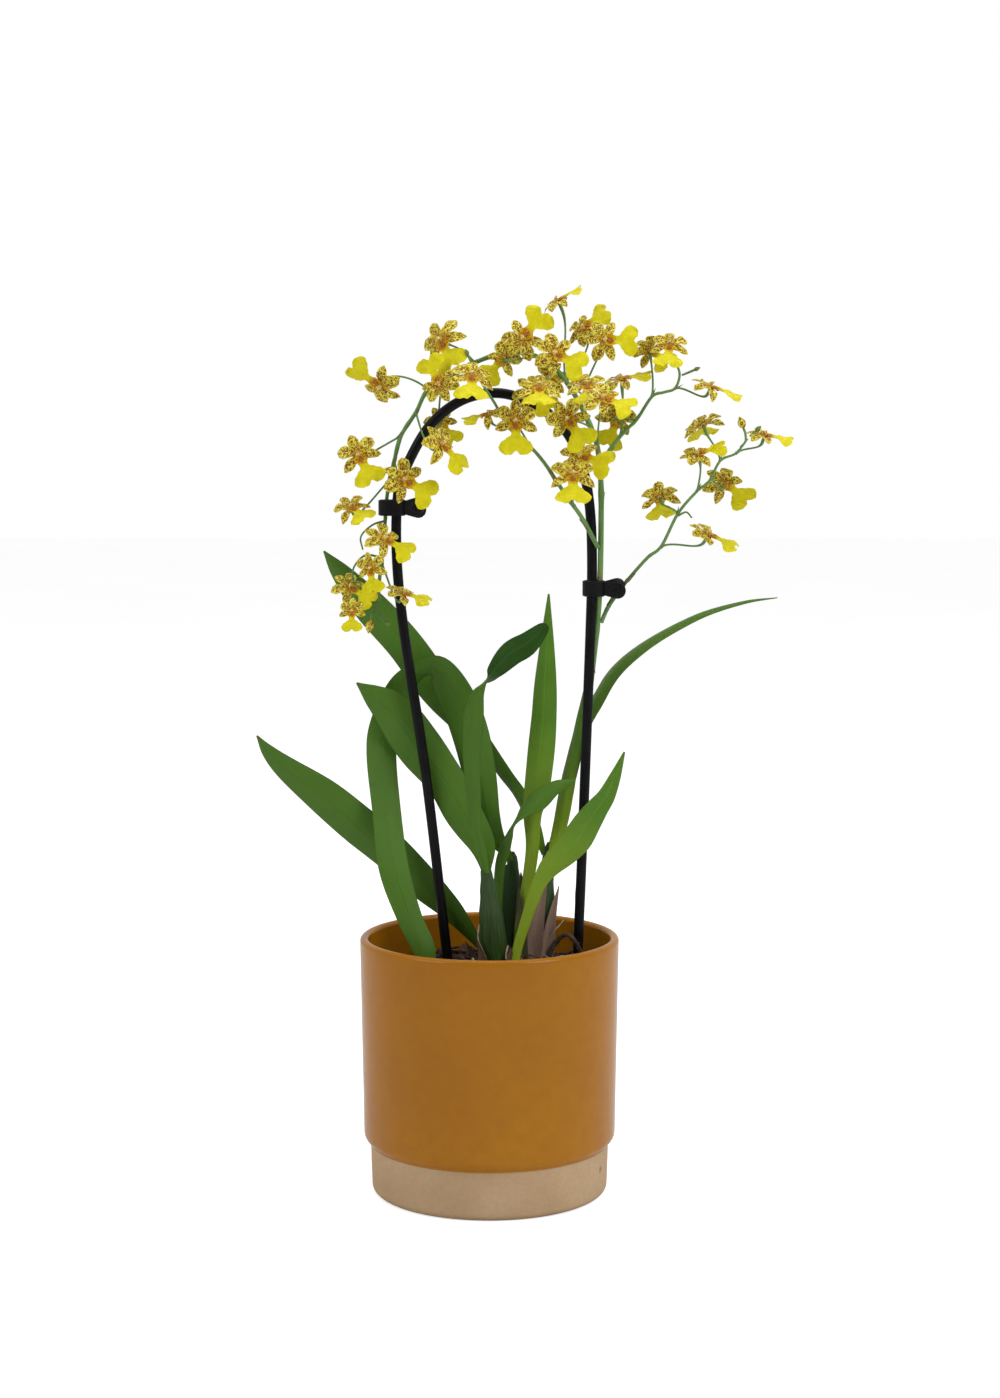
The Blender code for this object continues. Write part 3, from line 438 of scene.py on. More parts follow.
def leaf_look(name, dark, mid, base, back=(0.10, 0.22, 0.022), base_end=0.25, tip_brown=0.0):
    """A strap leaf: lengthwise veins, a pale midrib, a paler base and a duller underside.

    Its lay is the share across (-1 to 1), the share along, and 1 on the upper side or -1 below.
    """
    look = Look(name, 0.38, Specular_IOR_Level=0.18)
    across, along, side = look.lay()
    where = look.place()
    streak = look.vector(look.times(across, 14.0), look.times(along, 1.6), side)
    lines = look.noise(streak, 2.2, 4.0, 0.65)
    cloud = look.noise(where, 34.0, 3.0)
    body = look.blend(look.ramp(cloud, (0.3, 0.0), (0.7, 1.0)), dark, mid)
    body = look.blend(look.ramp(lines, (0.38, 0.4), (0.62, 0.0)), body, tuple(c * 0.62 for c in dark))
    below = look.ramp(look.math("MULTIPLY_ADD", side, -0.5, 0.5), (0.45, 0.0), (0.55, 0.65))
    body = look.blend(below, body, back)
    pale = look.ramp(along, (0.0, 1.0), (base_end, 0.0))
    body = look.blend(pale, body, base)
    rib = look.ramp(look.math("ABSOLUTE", across), (0.01, 0.32), (0.09, 0.0))
    body = look.blend(rib, body, tuple(c * 1.2 + 0.004 for c in mid))
    rim = look.ramp(look.math("ABSOLUTE", across), (0.93, 0.0), (0.995, 0.35))
    body = look.blend(rim, body, tuple(c * 0.4 for c in dark))
    spots = look.times(look.ramp(look.cells(where, 90.0), (0.05, 1.0), (0.1, 0.0)),
                      look.ramp(look.noise(where, 42.0, 1.0), (0.66, 0.0), (0.7, 0.8)))
    body = look.blend(spots, body, (0.05, 0.03, 0.012))
    if tip_brown:
        tip = look.ramp(along, (1 - tip_brown, 0.0), (1.0, 0.9))
        body = look.blend(tip, body, (0.17, 0.10, 0.03))
    look.colour(body)
    look.rough(look.ramp(cloud, (0.3, 0.32), (0.7, 0.46)))
    look.bump(look.math("ADD", lines, look.ramp(look.math("ABSOLUTE", across), (0.0, 0.0), (0.08, 0.6))),
              0.0005, 0.5)
    return look.material


def bulb_look():
    look = Look("bulb", 0.42)
    angle, along, _ = look.lay()
    where = look.place()
    streak = look.vector(look.times(angle, 30.0), look.times(along, 0.03), 0.0)
    lines = look.noise(streak, 1.5, 4.0, 0.6)
    body = look.ramp(lines, (0.3, (0.008, 0.030, 0.004)), (0.7, (0.045, 0.110, 0.014)))
    dirt = look.ramp(look.noise(where, 160.0, 4.0, 0.7), (0.52, 0.0), (0.68, 0.8))
    low = look.ramp(look.times(along, 0.02), (0.1, 1.0), (0.75, 0.25))
    look.colour(look.blend(look.times(dirt, low), body, (0.06, 0.035, 0.018)))
    look.bump(lines, 0.0008, 0.7)
    return look.material


def sheath_look(name="sheath", dark=(0.065, 0.035, 0.014), light=(0.24, 0.155, 0.075)):
    look = Look(name, 0.75)
    across, along, side = look.lay()
    streak = look.vector(look.times(across, 16.0), look.times(along, 2.0), side)
    lines = look.noise(streak, 2.4, 5.0, 0.7)
    look.colour(look.ramp(lines, (0.3, dark), (0.7, light)))
    look.bump(lines, 0.0006, 0.8)
    return look.material


def stem_look():
    look = Look("stem", 0.42)
    angle, along, _ = look.lay()
    where = look.place()
    streak = look.vector(look.times(angle, 10.0), look.times(along, 0.05), 0.0)
    lines = look.noise(streak, 1.6, 3.0)
    cloud = look.noise(where, 45.0, 3.0)
    body = look.ramp(cloud, (0.3, (0.085, 0.20, 0.035)), (0.7, (0.17, 0.32, 0.075)))
    look.colour(look.blend(look.ramp(lines, (0.4, 0.3), (0.62, 0.0)), body, (0.06, 0.13, 0.035)))
    look.bump(lines, 0.0003, 0.4)
    return look.material


def tepal_look():
    """Yellow petals with brown rings and bars. Its lay is millimetres across and along, and a seed."""
    look = Look("tepal", 0.5, Specular_IOR_Level=0.12)
    across, along, seed = look.lay()
    where = look.vector(across, look.times(along, 0.8), look.times(seed, 7.0))
    wobble = look.noise(where, 0.5, 2.0)
    shifted = look.vector(look.math("MULTIPLY_ADD", wobble, 1.6, across),
                          look.math("MULTIPLY_ADD", wobble, -1.6, along), look.times(seed, 7.0))
    cell = look.cells(shifted, 0.6)
    ring = look.ramp(cell, (0.24, 0.0), (0.30, 1.0), (0.48, 1.0), (0.54, 0.0))
    blot = look.ramp(look.noise(shifted, 1.0, 2.0), (0.56, 0.0), (0.60, 1.0))
    bars = look.math("MAXIMUM", ring, blot)
    inner = look.ramp(look.times(look.math("ABSOLUTE", across), 0.3), (0.6, 1.0), (0.95, 0.4))
    ends = look.ramp(look.times(along, 0.075), (0.78, 1.0), (0.95, 0.35))
    bars = look.times(look.times(bars, inner), ends)
    glow = look.noise(where, 0.3, 2.0)
    body = look.ramp(glow, (0.3, (0.72, 0.60, 0.035)), (0.7, (0.88, 0.80, 0.13)))
    heart = look.ramp(look.times(along, 0.08), (0.05, 0.8), (0.4, 0.0))
    body = look.blend(heart, body, (0.60, 0.27, 0.012))
    brown = look.ramp(look.noise(where, 1.4, 2.0), (0.3, (0.12, 0.026, 0.003)), (0.7, (0.27, 0.075, 0.006)))
    look.colour(look.blend(look.times(bars, 0.94), body, brown))
    look.bump(look.noise(look.vector(look.times(across, 3.0), along, seed), 1.0, 3.0), 0.0004, 0.5)
    return look.material


def lip_look():
    look = Look("lip", 0.5, Specular_IOR_Level=0.1)
    across, along, seed = look.lay()
    where = look.vector(across, along, look.times(seed, 5.0))
    glow = look.noise(where, 0.25, 3.0)
    body = look.ramp(glow, (0.3, (0.68, 0.60, 0.006)), (0.7, (0.80, 0.74, 0.016)))
    veins = look.noise(look.vector(look.times(across, 2.4), look.times(along, 0.5), seed),
                       1.0, 3.0)
    body = look.blend(look.ramp(veins, (0.36, 0.4), (0.5, 0.0)), body, (0.68, 0.50, 0.004))
    speck = look.ramp(look.noise(where, 0.9, 3.0), (0.42, 0.35), (0.6, 1.0))
    near = look.ramp(look.times(along, 0.1), (0.46, 1.0), (0.66, 0.0))
    rust = look.ramp(look.noise(where, 1.3, 2.0), (0.35, (0.36, 0.085, 0.004)), (0.65, (0.66, 0.22, 0.008)))
    look.colour(look.blend(look.times(near, speck), body, rust))
    look.bump(veins, 0.0005, 0.6)
    return look.material


def column_look():
    look = Look("column", 0.5)
    where = look.place()
    spots = look.ramp(look.noise(where, 900.0, 2.0), (0.5, 0.0), (0.58, 0.8))
    look.colour(look.blend(spots, (0.80, 0.66, 0.22), (0.42, 0.15, 0.02)))
    look.bump(look.noise(where, 1500.0, 2.0), 0.0002, 0.4)
    return look.material


def callus_look():
    look = Look("callus", 0.45)
    where = look.place()
    grain = look.noise(where, 1100.0, 3.0)
    look.colour(look.ramp(grain, (0.35, (0.30, 0.075, 0.004)), (0.62, (0.52, 0.20, 0.012))))
    look.bump(look.noise(where, 1700.0, 2.0), 0.0003, 0.6)
    return look.material


def floor_look():
    look = Look("floor", 0.9, Specular_IOR_Level=0.0, Emission_Color=(1, 1, 1, 1))
    where = look.place()
    look.colour(look.ramp(look.noise(where, 3.0, 2.0), (0.3, 0.84), (0.7, 0.87)))
    seen = look.add("LightPath").outputs["Is Camera Ray"]
    look.wire(look.times(seen, 0.62), look.shader.inputs["Emission Strength"])
    return look.material


# ======================================================================================
# Pot and bark
# ======================================================================================

def inner_radius(z):
    share = (z - FOOT_HEIGHT) / (POT_HEIGHT - FOOT_HEIGHT)
    return FOOT_RADIUS - WALL if share <= 0 else mix(SHOULDER_RADIUS, RIM_RADIUS, share) - WALL


def pot():
    lip = WALL / 2
    glaze_start = FOOT_HEIGHT - 0.3
    body = FOOT_HEIGHT + SHOULDER_ROUND
    walls = [(mix(SHOULDER_RADIUS, RIM_RADIUS, k / 12), mix(body, POT_HEIGHT - lip, k / 12))
             for k in range(1, 12)]
    profile = [
        (0, 0), (20, 0), (40, 0),
        *arc(FOOT_BASE_RADIUS - FOOT_ROUND, FOOT_ROUND, FOOT_ROUND, -90, 0, 8),
        (mix(FOOT_BASE_RADIUS, FOOT_RADIUS, 0.5), mix(FOOT_ROUND, FOOT_HEIGHT, 0.5)),
        (FOOT_RADIUS - 0.15, glaze_start - 1.0),
        (FOOT_RADIUS - 0.05, glaze_start - 0.1),
        (FOOT_RADIUS + 0.35, glaze_start + 0.05),
        (FOOT_RADIUS + 0.6, glaze_start + 0.5),
        *arc(SHOULDER_RADIUS - SHOULDER_ROUND, body, SHOULDER_ROUND, -58, 0, 10),
        *walls,
        *arc(RIM_RADIUS - lip, POT_HEIGHT - lip, lip, 0, 180, 16),
        *[(inner_radius(z), z) for z in (120, 100, 80, 60, 40, body)],
        (inner_radius(0), FOOT_HEIGHT),
        *arc(inner_radius(0) - INNER_ROUND, FLOOR + INNER_ROUND, INNER_ROUND, 0, -90, 5),
        (0, FLOOR),
    ]
    bare = lambda r, z: int(z < glaze_start and not (z >= FLOOR and r < FOOT_RADIUS - WALL + 0.5))
    shape = turned(profile, 160, bare)
    piece("pot_glazed", [shape], [glaze_look(), clay_look()], ["ceramic_pot"], sharp=80)


def bark_top(x, y):
    from_crown = hypot(x - CROWN[0], y - CROWN[1])
    rough = sin(0.31 * x + 1.3) * cos(0.27 * y) + 0.6 * sin(0.53 * x - 0.47 * y)
    return BARK_LEVEL + BARK_MOUND * exp(-(from_crown / MOUND_SPREAD) ** 2) + 0.8 * rough


def bark():
    """A crumbly surface over the plug, with chips, crumbs and fine roots lying on it."""
    look = bark_look()
    steps, rings = 150, 44
    edge = inner_radius(BARK_LEVEL) - SEAT_GAP
    points, lays, ring_list = [Vector((0, 0, 12))], [(0, 0, 0)], [[0]]
    for r, z in ((edge - 8, 12), (edge - 4, 24), (edge - 1.0, 60), (edge - 0.2, 110)):
        ring_list.append([len(points) + k for k in range(steps)])
        points += [Vector((r * cos(2 * pi * k / steps), r * sin(2 * pi * k / steps), z))
                   for k in range(steps)]
        lays += [(0.0, 0, 0)] * steps
    for ring in range(rings, 0, -1):
        r = edge * ring / rings
        ring_list.append([len(points) + k for k in range(steps)])
        for k in range(steps):
            x, y = r * cos(2 * pi * k / steps), r * sin(2 * pi * k / steps)
            spot = Vector((x, y, 0))
            coarse, fine = noise.noise(spot * 0.22), noise.noise(spot * 0.75 + Vector((9, 3, 1)))
            points.append(Vector((x, y, bark_top(x, y) - 0.8 + 1.6 * coarse + 1.1 * fine)))
            lays.append((0.25 + 0.5 * max(0, fine), 0, 0))
    ring_list.append([len(points)])
    points.append(Vector((0, 0, bark_top(0, 0) - 0.8)))
    lays.append((0.2, 0, 0))
    faces = []
    for low, high in zip(ring_list, ring_list[1:]):
        for k in range(steps):
            n = (k + 1) % steps
            face = (low[k % len(low)], low[n % len(low)], high[n % len(high)], high[k % len(high)])
            faces.append(tuple(dict.fromkeys(face)))
    piece("bark_surface", [Shape(points, faces, lays)], [look], ["bark_mix"])

    dice = Random(11)
    chips = []
    for k in range(900):
        r, angle = (edge - 2.5) * dice.random() ** 0.55, dice.uniform(0, 2 * pi)
        x, y = r * cos(angle), r * sin(angle)
        size = dice.choice((0.7, 0.9, 1.2, 1.6, 2.4, 3.2))
        size = min(size, edge - r)
        sizes = (size * dice.uniform(0.8, 1.5), size * dice.uniform(0.6, 1.0), size * dice.uniform(0.3, 0.6))
        turn = (dice.uniform(-0.7, 0.7), dice.uniform(-0.7, 0.7), dice.uniform(0, pi))
        z = bark_top(x, y) + dice.uniform(-0.2, 0.8) * size
        tone = dice.choice((0.0, 0.05, 0.1, 0.15, 0.3, 0.55, 0.9))
        chips.append(lump(Vector((x, y, z)), sizes, turn, k * 1.37, rough=0.4, tone=tone))
    piece("bark_chips", chips, [look], sharp=25)


def fine_roots():
    """Pale and dark rootlets that cross the bark round the crown."""
    dice = Random(5)
    shapes = []
    for k in range(46):
        angle = dice.uniform(0, 2 * pi)
        start = dice.uniform(3, 20)
        length = dice.uniform(9, 26)
        x, y = CROWN[0] + start * cos(angle), CROWN[1] + start * sin(angle)
        heading = angle + dice.uniform(-0.9, 0.9)
        rows, lift = [], dice.uniform(0.5, 5.0)
        for step in range(7):
            t = step / 6
            if hypot(x, y) > inner_radius(BARK_LEVEL) - 2:
                break
            rows.append((x, y, bark_top(x, y) + 0.6 + lift * sin(pi * t) + (2.5 if step == 0 else 0)))
            heading += dice.uniform(-0.5, 0.5)
            x, y = x + length / 6 * cos(heading), y + length / 6 * sin(heading)
        if len(rows) < 4:
            continue
        route = smooth_route(rows, 3)
        thick = dice.uniform(0.18, 0.5)
        radii = [thick * mix(1.0, 0.45, j / len(route)) for j in range(len(route))]
        shapes.append(tube(route, radii, 6, look=int(dice.random() < 0.55), seed=k))
    for rows in ([(10, -14, 137), (9, -17, 131), (14, -21, 127), (24, -25, 124), (33, -27, 122)],
                 [(28, -20, 126), (35, -24, 124), (43, -29, 121.5)],
                 [(32, -6, 140), (36, -8, 145), (40, -9, 150)],
                 [(-2, -16, 131), (-6, -17, 141), (-5.5, -17, 149)],
                 [(-9, -18, 131), (-6, -21, 126), (-1, -24, 124)]):
        route = smooth_route(rows, 4)
        shapes.append(tube(route, [mix(0.55, 0.25, j / len(route)) for j in range(len(route))], 6, look=0))
    looks = [root_look("rootlet_pale", (0.30, 0.22, 0.15), (0.62, 0.52, 0.40)),
             root_look("rootlet_dark", (0.035, 0.018, 0.010), (0.13, 0.07, 0.035))]
    piece("rootlets", shapes, looks)


def looped_root():
    rows, last = [], 12
    start, end = (31.5, -9.0), (52.5, -9.5)
    for k in range(last + 1):
        t = k / last
        x, y = mix(start[0], end[0], t), mix(start[1], end[1], t)
        lift = 19.0 * sin(pi * t) ** 0.8 if 0 < k < last else -1.0
        rows.append((x, y + 1.5 * sin(7 * t), bark_top(x, y) + 0.8 + lift))
    route = smooth_route(rows, 5)
    radii = [1.15 + 0.3 * noise.noise(p * 0.6) for p in route]
    shapes = [tube(route, radii, 12)]
    dice = Random(3)
    for _ in range(34):
        spot, along = point_at(route, dice.uniform(0.05, 0.97))
        sideways = Vector((dice.uniform(-1, 1), dice.uniform(-1, 1), dice.uniform(-1, 1)))
        out = along.cross(sideways).normalized()
        if dice.random() < 0.6:
            turn = (dice.uniform(0, 3), dice.uniform(0, 3), dice.uniform(0, 3))
            shapes.append(lump(spot + out * 1.0, (0.8, 0.5, 0.4), turn, dice.uniform(0, 50)))
        else:
            shapes.append(tube([spot, spot + out * 1.8, spot + out * 3.0 + Vector((0, 0, -0.6))],
                               [0.16, 0.12, 0.07], 5))
    look = root_look("dead_root", (0.012, 0.008, 0.005), (0.085, 0.055, 0.03))
    piece("dead_root_loop", shapes, [look], ["looped_root"])


# ======================================================================================
# Hoop and clips
# ======================================================================================

def hoop():
    route = smooth_route(HOOP_ROUTE, 8)
    radii = [HOOP_RADIUS * (0.985 + 0.01 * noise.noise(p * 0.05)) for p in route]
    piece("hoop_wire", [tube(route, radii, 24)], [wire_look()], ["support_hoop"])


CLIP_HEIGHT = 8.6
CLIP_WALL = 1.5
TAB_REACH = 12.0


def clip(node, name, tilt):
    """A clip's rounded band round hoop and stem, with two ribbed finger tabs on its right side."""
    low, high = (Vector(corner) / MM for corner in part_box(node))
    height, wall, tab_reach = CLIP_HEIGHT, CLIP_WALL, TAB_REACH
    inner = HOOP_RADIUS + SEAT_GAP
    outer = inner + wall
    middle = Vector((low.x + outer, (low.y + high.y) / 2, (low.z + high.z) / 2))
    half = (high.x - low.x - tab_reach - 2 * outer + 0.3) / 2
    middle.x += half
    outline_out = arc(half, 0, outer, -90, 90, 14) + arc(-half, 0, outer, 90, 270, 14)
    outline_in = arc(half, 0, inner, -90, 90, 14) + arc(-half, 0, inner, 90, 270, 14)
    count, points, faces = len(outline_out), [], []
    top, cut = height / 2, 0.45
    # Each ring: how far between the inner and the outer outline, and its height.
    rings = ((1, -top + cut), (1, top - cut), (1 - cut / wall, top), (cut / wall, top), (0, top - cut),
             (0, -top + cut), (cut / wall, -top), (1 - cut / wall, -top))
    for share, z in rings:
        for (x1, y1), (x0, y0) in zip(outline_out, outline_in):
            points.append(middle + Vector((mix(x0, x1, share), mix(y0, y1, share), z)))
    for ring in range(len(rings)):
        nxt = (ring + 1) % len(rings)
        for k in range(count):
            n = (k + 1) % count
            faces.append((ring * count + k, ring * count + n, nxt * count + n, nxt * count + k))
    shapes = [Shape(points, faces, [(0, 0, 0)] * len(points))]
    for side in (-1, 1):
        root = middle + Vector((half + inner + wall / 2, side * inner / 2, 0))
        shapes.append(finger_tab(root, side, height, tab_reach, tilt))
    hinge_x = middle.x - half - outer + 0.55
    hinge = [Vector((hinge_x, middle.y, middle.z + z)) for z in (-top + 0.3, 0, top - 0.3)]
    shapes.append(tube(hinge, [0.95] * 3, 12))
    piece(name, shapes, [clip_look()], [node], sharp=35)


def finger_tab(root, side, height, reach, tilt):
    """A flat tab along +X with a round end, a rounded rim and three grip ribs on its outer face."""
    half, thick = height / 2, 1.7
    turn = (Matrix.Translation(root) @ Matrix.Rotation(radians(12 * side), 4, "Z")
            @ Matrix.Rotation(radians(tilt * side), 4, "Y"))
    outline = [(-0.4, -half * 0.8), (reach * 0.35, -half * 0.92), (reach - half, -half)]
    outline += arc(reach - half, 0, half, -75, 75, 12)
    outline += [(reach - half, half), (reach * 0.35, half * 0.92), (-0.4, half * 0.8)]
    centre_x = reach / 2
    points, count = [], len(outline)
    back, rim = thick / 2, thick / 2 - 0.35
    for y, shrink in ((-back, 0.88), (-rim, 1.0), (rim, 1.0), (back, 0.88)):
        points += [Vector((centre_x + (x - centre_x) * shrink, y, z * shrink)) for x, z in outline]
    whole = Shape(points, capped_rings(4, count), [(0, 0, 0)] * len(points))
    start = len(points)
    for k in range(3):
        x = reach - half - 1.5 + 2.0 * k
        rib = tube([Vector((x, side * thick / 2, z)) for z in (-half * 0.6, 0, half * 0.6)], [0.38] * 3, 8)
        whole.faces += [tuple(start + v for v in face) for face in rib.faces]
        whole.points += rib.points
        whole.lays += rib.lays
        start = len(whole.points)
    return whole.moved(turn)


# ======================================================================================
# Bulbs and leaves
# ======================================================================================

BULBS = {  # foot, top, width, depth
    "bulb_front": ((4.5, -12.0, 117), (-1.5, -12.5, 175.5), 14.5, 11.0),
    "bulb_back": ((11.0, 8.0, 117), (12.5, 9.5, 177), 14.0, 10.0),
    "bulb_right": ((27.0, -3.0, 117), (31.5, 0.0, 183), 13.0, 10.0),
}
BULB_REACH = 1.12  # a bulb's neck runs on past its top, up to the leaves
BULB_PROFILE = [(0.0, 0.62), (0.12, 0.84), (0.38, 1.0), (0.6, 0.9), (0.82, 0.66), (1.0, 0.45),
                (1.07, 0.36), (BULB_REACH, 0.14)]


def bulb(node, looks):
    foot, top, width, depth = BULBS[node]
    foot, top = Vector(foot), Vector(top)
    sides, levels, seed = 60, 46, foot.x
    points, lays = [], []
    for level in range(levels + 1):
        t = BULB_REACH * level / levels
        swell = through(BULB_PROFILE, t)
        centre = foot.lerp(top, t) + Vector((0.5 * sin(3 * t + seed), 0, 0)) * sin(pi * t)
        for k in range(sides):
            angle = 2 * pi * k / sides
            rib = 1 + 0.035 * cos(11 * angle + 0.8 * sin(4 * t + seed)) * (1 - 0.4 * t)
            rib += 0.03 * noise.noise(Vector((cos(angle) * 2, sin(angle) * 2, t * 3 + seed)))
            out = swell * rib / 2
            points.append(centre + Vector((width * out * cos(angle), depth * out * sin(angle), 0)))
            lays.append((k / sides, t * 60, seed))
    piece("pseudo" + node, [Shape(points, capped_rings(levels + 1, sides), lays)], looks, [node])


# Each leaf's spine: x, y, z, the roll in degrees, and the blade's width there. At a roll of 0 the
# blade faces the viewer, and at 90 it is edge-on.
LEAVES = {
    "leaf_far_left": [
        (3, 1, 116, 60, 4), (-1, 2, 128, 50, 5.7), (-9.5, 3, 139.5, 35, 9.2), (-21, 6, 153, 20, 14.3),
        (-35, 9, 166, 12, 18.4), (-54, 11, 184, 10, 21.6), (-73, 11, 200, 10, 22.2),
        (-91, 9, 215.5, 10, 20.2), (-109, 5, 230, 15, 14.2), (-119, 2.7, 240, 22, 8.5),
        (-125, 1, 248.7, 30, 1)],
    "leaf_folded_over": [
        (11.8, 8.5, 178.2, 10, 3.5), (9, 8, 184, 12, 6), (3.5, 7, 192, 12, 10), (-1.5, 7, 205, 12, 15),
        (-5, 9, 225, 8, 18),
        (-10, 13, 247, 5, 20), (-17, 16, 266, 10, 20), (-27, 17, 282.5, 30, 18), (-37, 18, 283, 50, 16.5),
        (-47.5, 20, 274, 35, 17), (-56.5, 20, 253, 12, 17), (-58.7, 14, 236.9, 6, 16.3),
        (-55.4, 0, 207.8, 5, 15.3), (-51.2, -13, 179.1, 5, 16), (-42.4, -20, 153.1, 5, 13.3),
        (-34.4, -25, 136.5, 6, 11.8), (-33, -26, 122, 8, 4)],
    "leaf_long_back": [
        (29.6, 1.9, 184, 20, 3), (24.4, 10, 198.9, 30, 7.5), (17.5, 13, 213.9, 28, 8),
        (8.7, 17, 225.6, 25, 8), (-2.1, 22, 240.8, 20, 9), (-12.9, 26, 252.2, 12, 14),
        (-28.7, 29, 270.7, 6, 20), (-46.2, 27, 295.5, 5, 20), (-65.3, 18, 317.8, 8, 19),
        (-80, 11, 336, 15, 11), (-88.7, 7, 347.6, 20, 1)],
    "leaf_broad_left": [
        (-1.5, -10.6, 176.5, 20, 5), (-3.9, -7, 190.8, 12, 15), (-13.8, -1, 206.5, 5, 20.5),
        (-23.3, 4, 223.4, 5, 21.2), (-38.4, 8, 242.5, 6, 25.3), (-51.5, 8, 260.5, 8, 22.6),
        (-62.1, 7.5, 269.5, 12, 13.3), (-71.5, 6, 276.7, 20, 1)],
    "leaf_twisted": [
        (-1.5, -14.3, 176.5, 30, 4), (-4, -15.3, 188, 30, 5.9), (-6.7, -16, 201, 30, 6),
        (-8.4, -17, 220.5, 32, 9.4), (-9.3, -17.5, 239.9, 34, 11.4), (-8.3, -17, 259, 38, 13.3),
        (-6.2, -16, 272.4, 60, 13.3), (0.7, -15.5, 281, 110, 13.3), (3.5, -15, 285.7, 135, 13.5),
        (11.5, -14, 294.2, 165, 13.7), (20.1, -13, 299.3, 170, 13), (28.7, -12, 307.5, 170, 7),
        (31, -11.7, 309.8, 170, 1)],
    "leaf_tall": [
        (14.5, -6, 116, 20, 5), (16.5, -6, 146, 25, 6), (20.7, -6, 170.1, 25, 6.9),
        (23.2, -5.5, 189.6, 22, 7.8), (23.2, -4, 206.9, 18, 10.6), (25.4, -2, 218.4, 16, 14.1),
        (27.6, 1, 237.5, 14, 14.7), (29.3, 3, 256.8, 12, 13.9), (30.2, 5, 276, 11, 12.2),
        (31, 6.5, 297.3, 10, 7.8), (31.9, 8, 324.5, 10, 1)],
    "leaf_small": [
        (6.5, -2, 116, 15, 3.5), (4.8, -2, 145, 15, 4.5), (4.6, -2.6, 162, 20, 5.5),
        (5.8, -4, 178.5, 25, 6), (8.3, -5.5, 187.6, 35, 6.9), (11, -7, 195.7, 60, 6.9),
        (13.9, -9, 202.8, 85, 7), (19.3, -11, 209.9, 40, 8), (26, -12.5, 215, 15, 10.8),
        (35.6, -13.5, 222.9, 10, 7), (45.7, -14, 226.5, 10, 1)],
    "leaf_broad_right": [
        (12, -17.5, 116, 25, 4.5), (14.5, -17.8, 134, 25, 5.5), (19.3, -18, 150.7, 22, 6),
        (23.1, -19, 162.6, 18, 7), (26.9, -20, 172.5, 12, 8), (32.2, -21.5, 181.1, 8, 11.2),
        (40.6, -23, 189.5, 5, 14.6), (46.8, -24, 196.8, 5, 16), (51.9, -25, 205.3, 5, 14.6),
        (57.2, -25, 213, 6, 11.8), (62, -24.5, 219.6, 8, 9.5), (66.7, -24, 230.1, 12, 6),
        (71.5, -23, 242.9, 15, 1)],
    "leaf_long_right": [
        (33, 1.7, 184, 10, 3), (36, 8, 195, 20, 5), (43, 15, 221, 35, 8), (50, 19, 249, 50, 10.5),
        (59, 20, 266, 55, 11), (69, 18, 282, 58, 10.5), (86, 13, 297, 60, 8.8), (112, 8, 312, 64, 6),
        (136, 3, 320, 68, 3.5), (154, 0, 323, 75, 1)],
    "leaf_narrow": [
        (31.8, -1.5, 184, 0, 3.5), (37.5, 1, 197, 20, 7.5), (42, 5, 220, 40, 10), (48, 9, 250, 50, 7.5),
        (52, 11, 276, 55, 1)],
}


def strap(rows, fold=0.22, seed=0.0, columns=12, per_mm=0.4, thickness=0.75, look=0):
    """A strap leaf along a spine, keeled at its midrib and thinner at its margins."""
    route = smooth_route(rows, 8)
    spine = [Vector(row[:3]) for row in route]
    length = sum((b - a).length for a, b in zip(spine, spine[1:]))
    count = max(10, int(length * per_mm))
    samples = []
    for k in range(count + 1):
        where = k / count * (len(route) - 1)
        index = min(int(where), len(route) - 2)
        samples.append(route[index].lerp(route[index + 1], where - index))
    places = [Vector(row[:3]) for row in samples]
    sections = []
    for k, (row, place) in enumerate(zip(samples, places)):
        along = (places[min(k + 1, count)] - places[max(k - 1, 0)]).normalized()
        across = along.cross(Vector((0, 1, 0))).normalized()
        normal = across.cross(along)
        roll = radians(row[3])
        across, normal = across * cos(roll) + normal * sin(roll), normal * cos(roll) - across * sin(roll)
        half = max(0.15, row[4] / 2 * (1 + 0.03 * noise.noise(Vector((k / count * 9, seed, 0)))))
        sections.append((place, across, normal, half))

    def place(u, v):
        centre, across, normal, half = sections[round(v * count)]
        keel = fold * half * (1 - (u * u + 0.006) ** 0.62)
        wave = 0.35 * noise.noise(Vector((v * 11, seed + 3 * (u > 0), 1))) * abs(u) ** 2 * min(1, half / 4)
        return centre + across * (half * u) + normal * (wave - keel)

    return sheet(columns, count, place, thickness, lambda u, v, front: (u, v, front), look)


def leaves():
    fresh = leaf_look("leaf_fresh", (0.032, 0.115, 0.005), (0.080, 0.215, 0.011), (0.17, 0.32, 0.020))
    deep = leaf_look("leaf_deep", (0.014, 0.060, 0.0035), (0.040, 0.125, 0.007), (0.085, 0.20, 0.014),
                     tip_brown=0.03)
    bright = leaf_look("leaf_bright", (0.060, 0.180, 0.007), (0.125, 0.29, 0.015), (0.34, 0.47, 0.026),
                       base_end=0.7)
    pale = leaf_look("leaf_pale", (0.060, 0.135, 0.018), (0.130, 0.235, 0.035), (0.22, 0.36, 0.04))
    looks = {"leaf_tall": bright, "leaf_broad_right": bright, "leaf_long_right": pale, "leaf_narrow": bright,
             "leaf_small": fresh, "leaf_long_back": fresh, "leaf_twisted": deep, "leaf_folded_over": deep,
             "leaf_broad_left": deep, "leaf_far_left": deep}
    for k, (node, rows) in enumerate(LEAVES.items()):
        fold = 0.3 if node in ("leaf_tall", "leaf_narrow", "leaf_long_right") else 0.2
        blade = strap(rows, fold, seed=3.7 * k)
        piece(node.replace("leaf_", "blade_"), [blade], [looks[node]], [node])


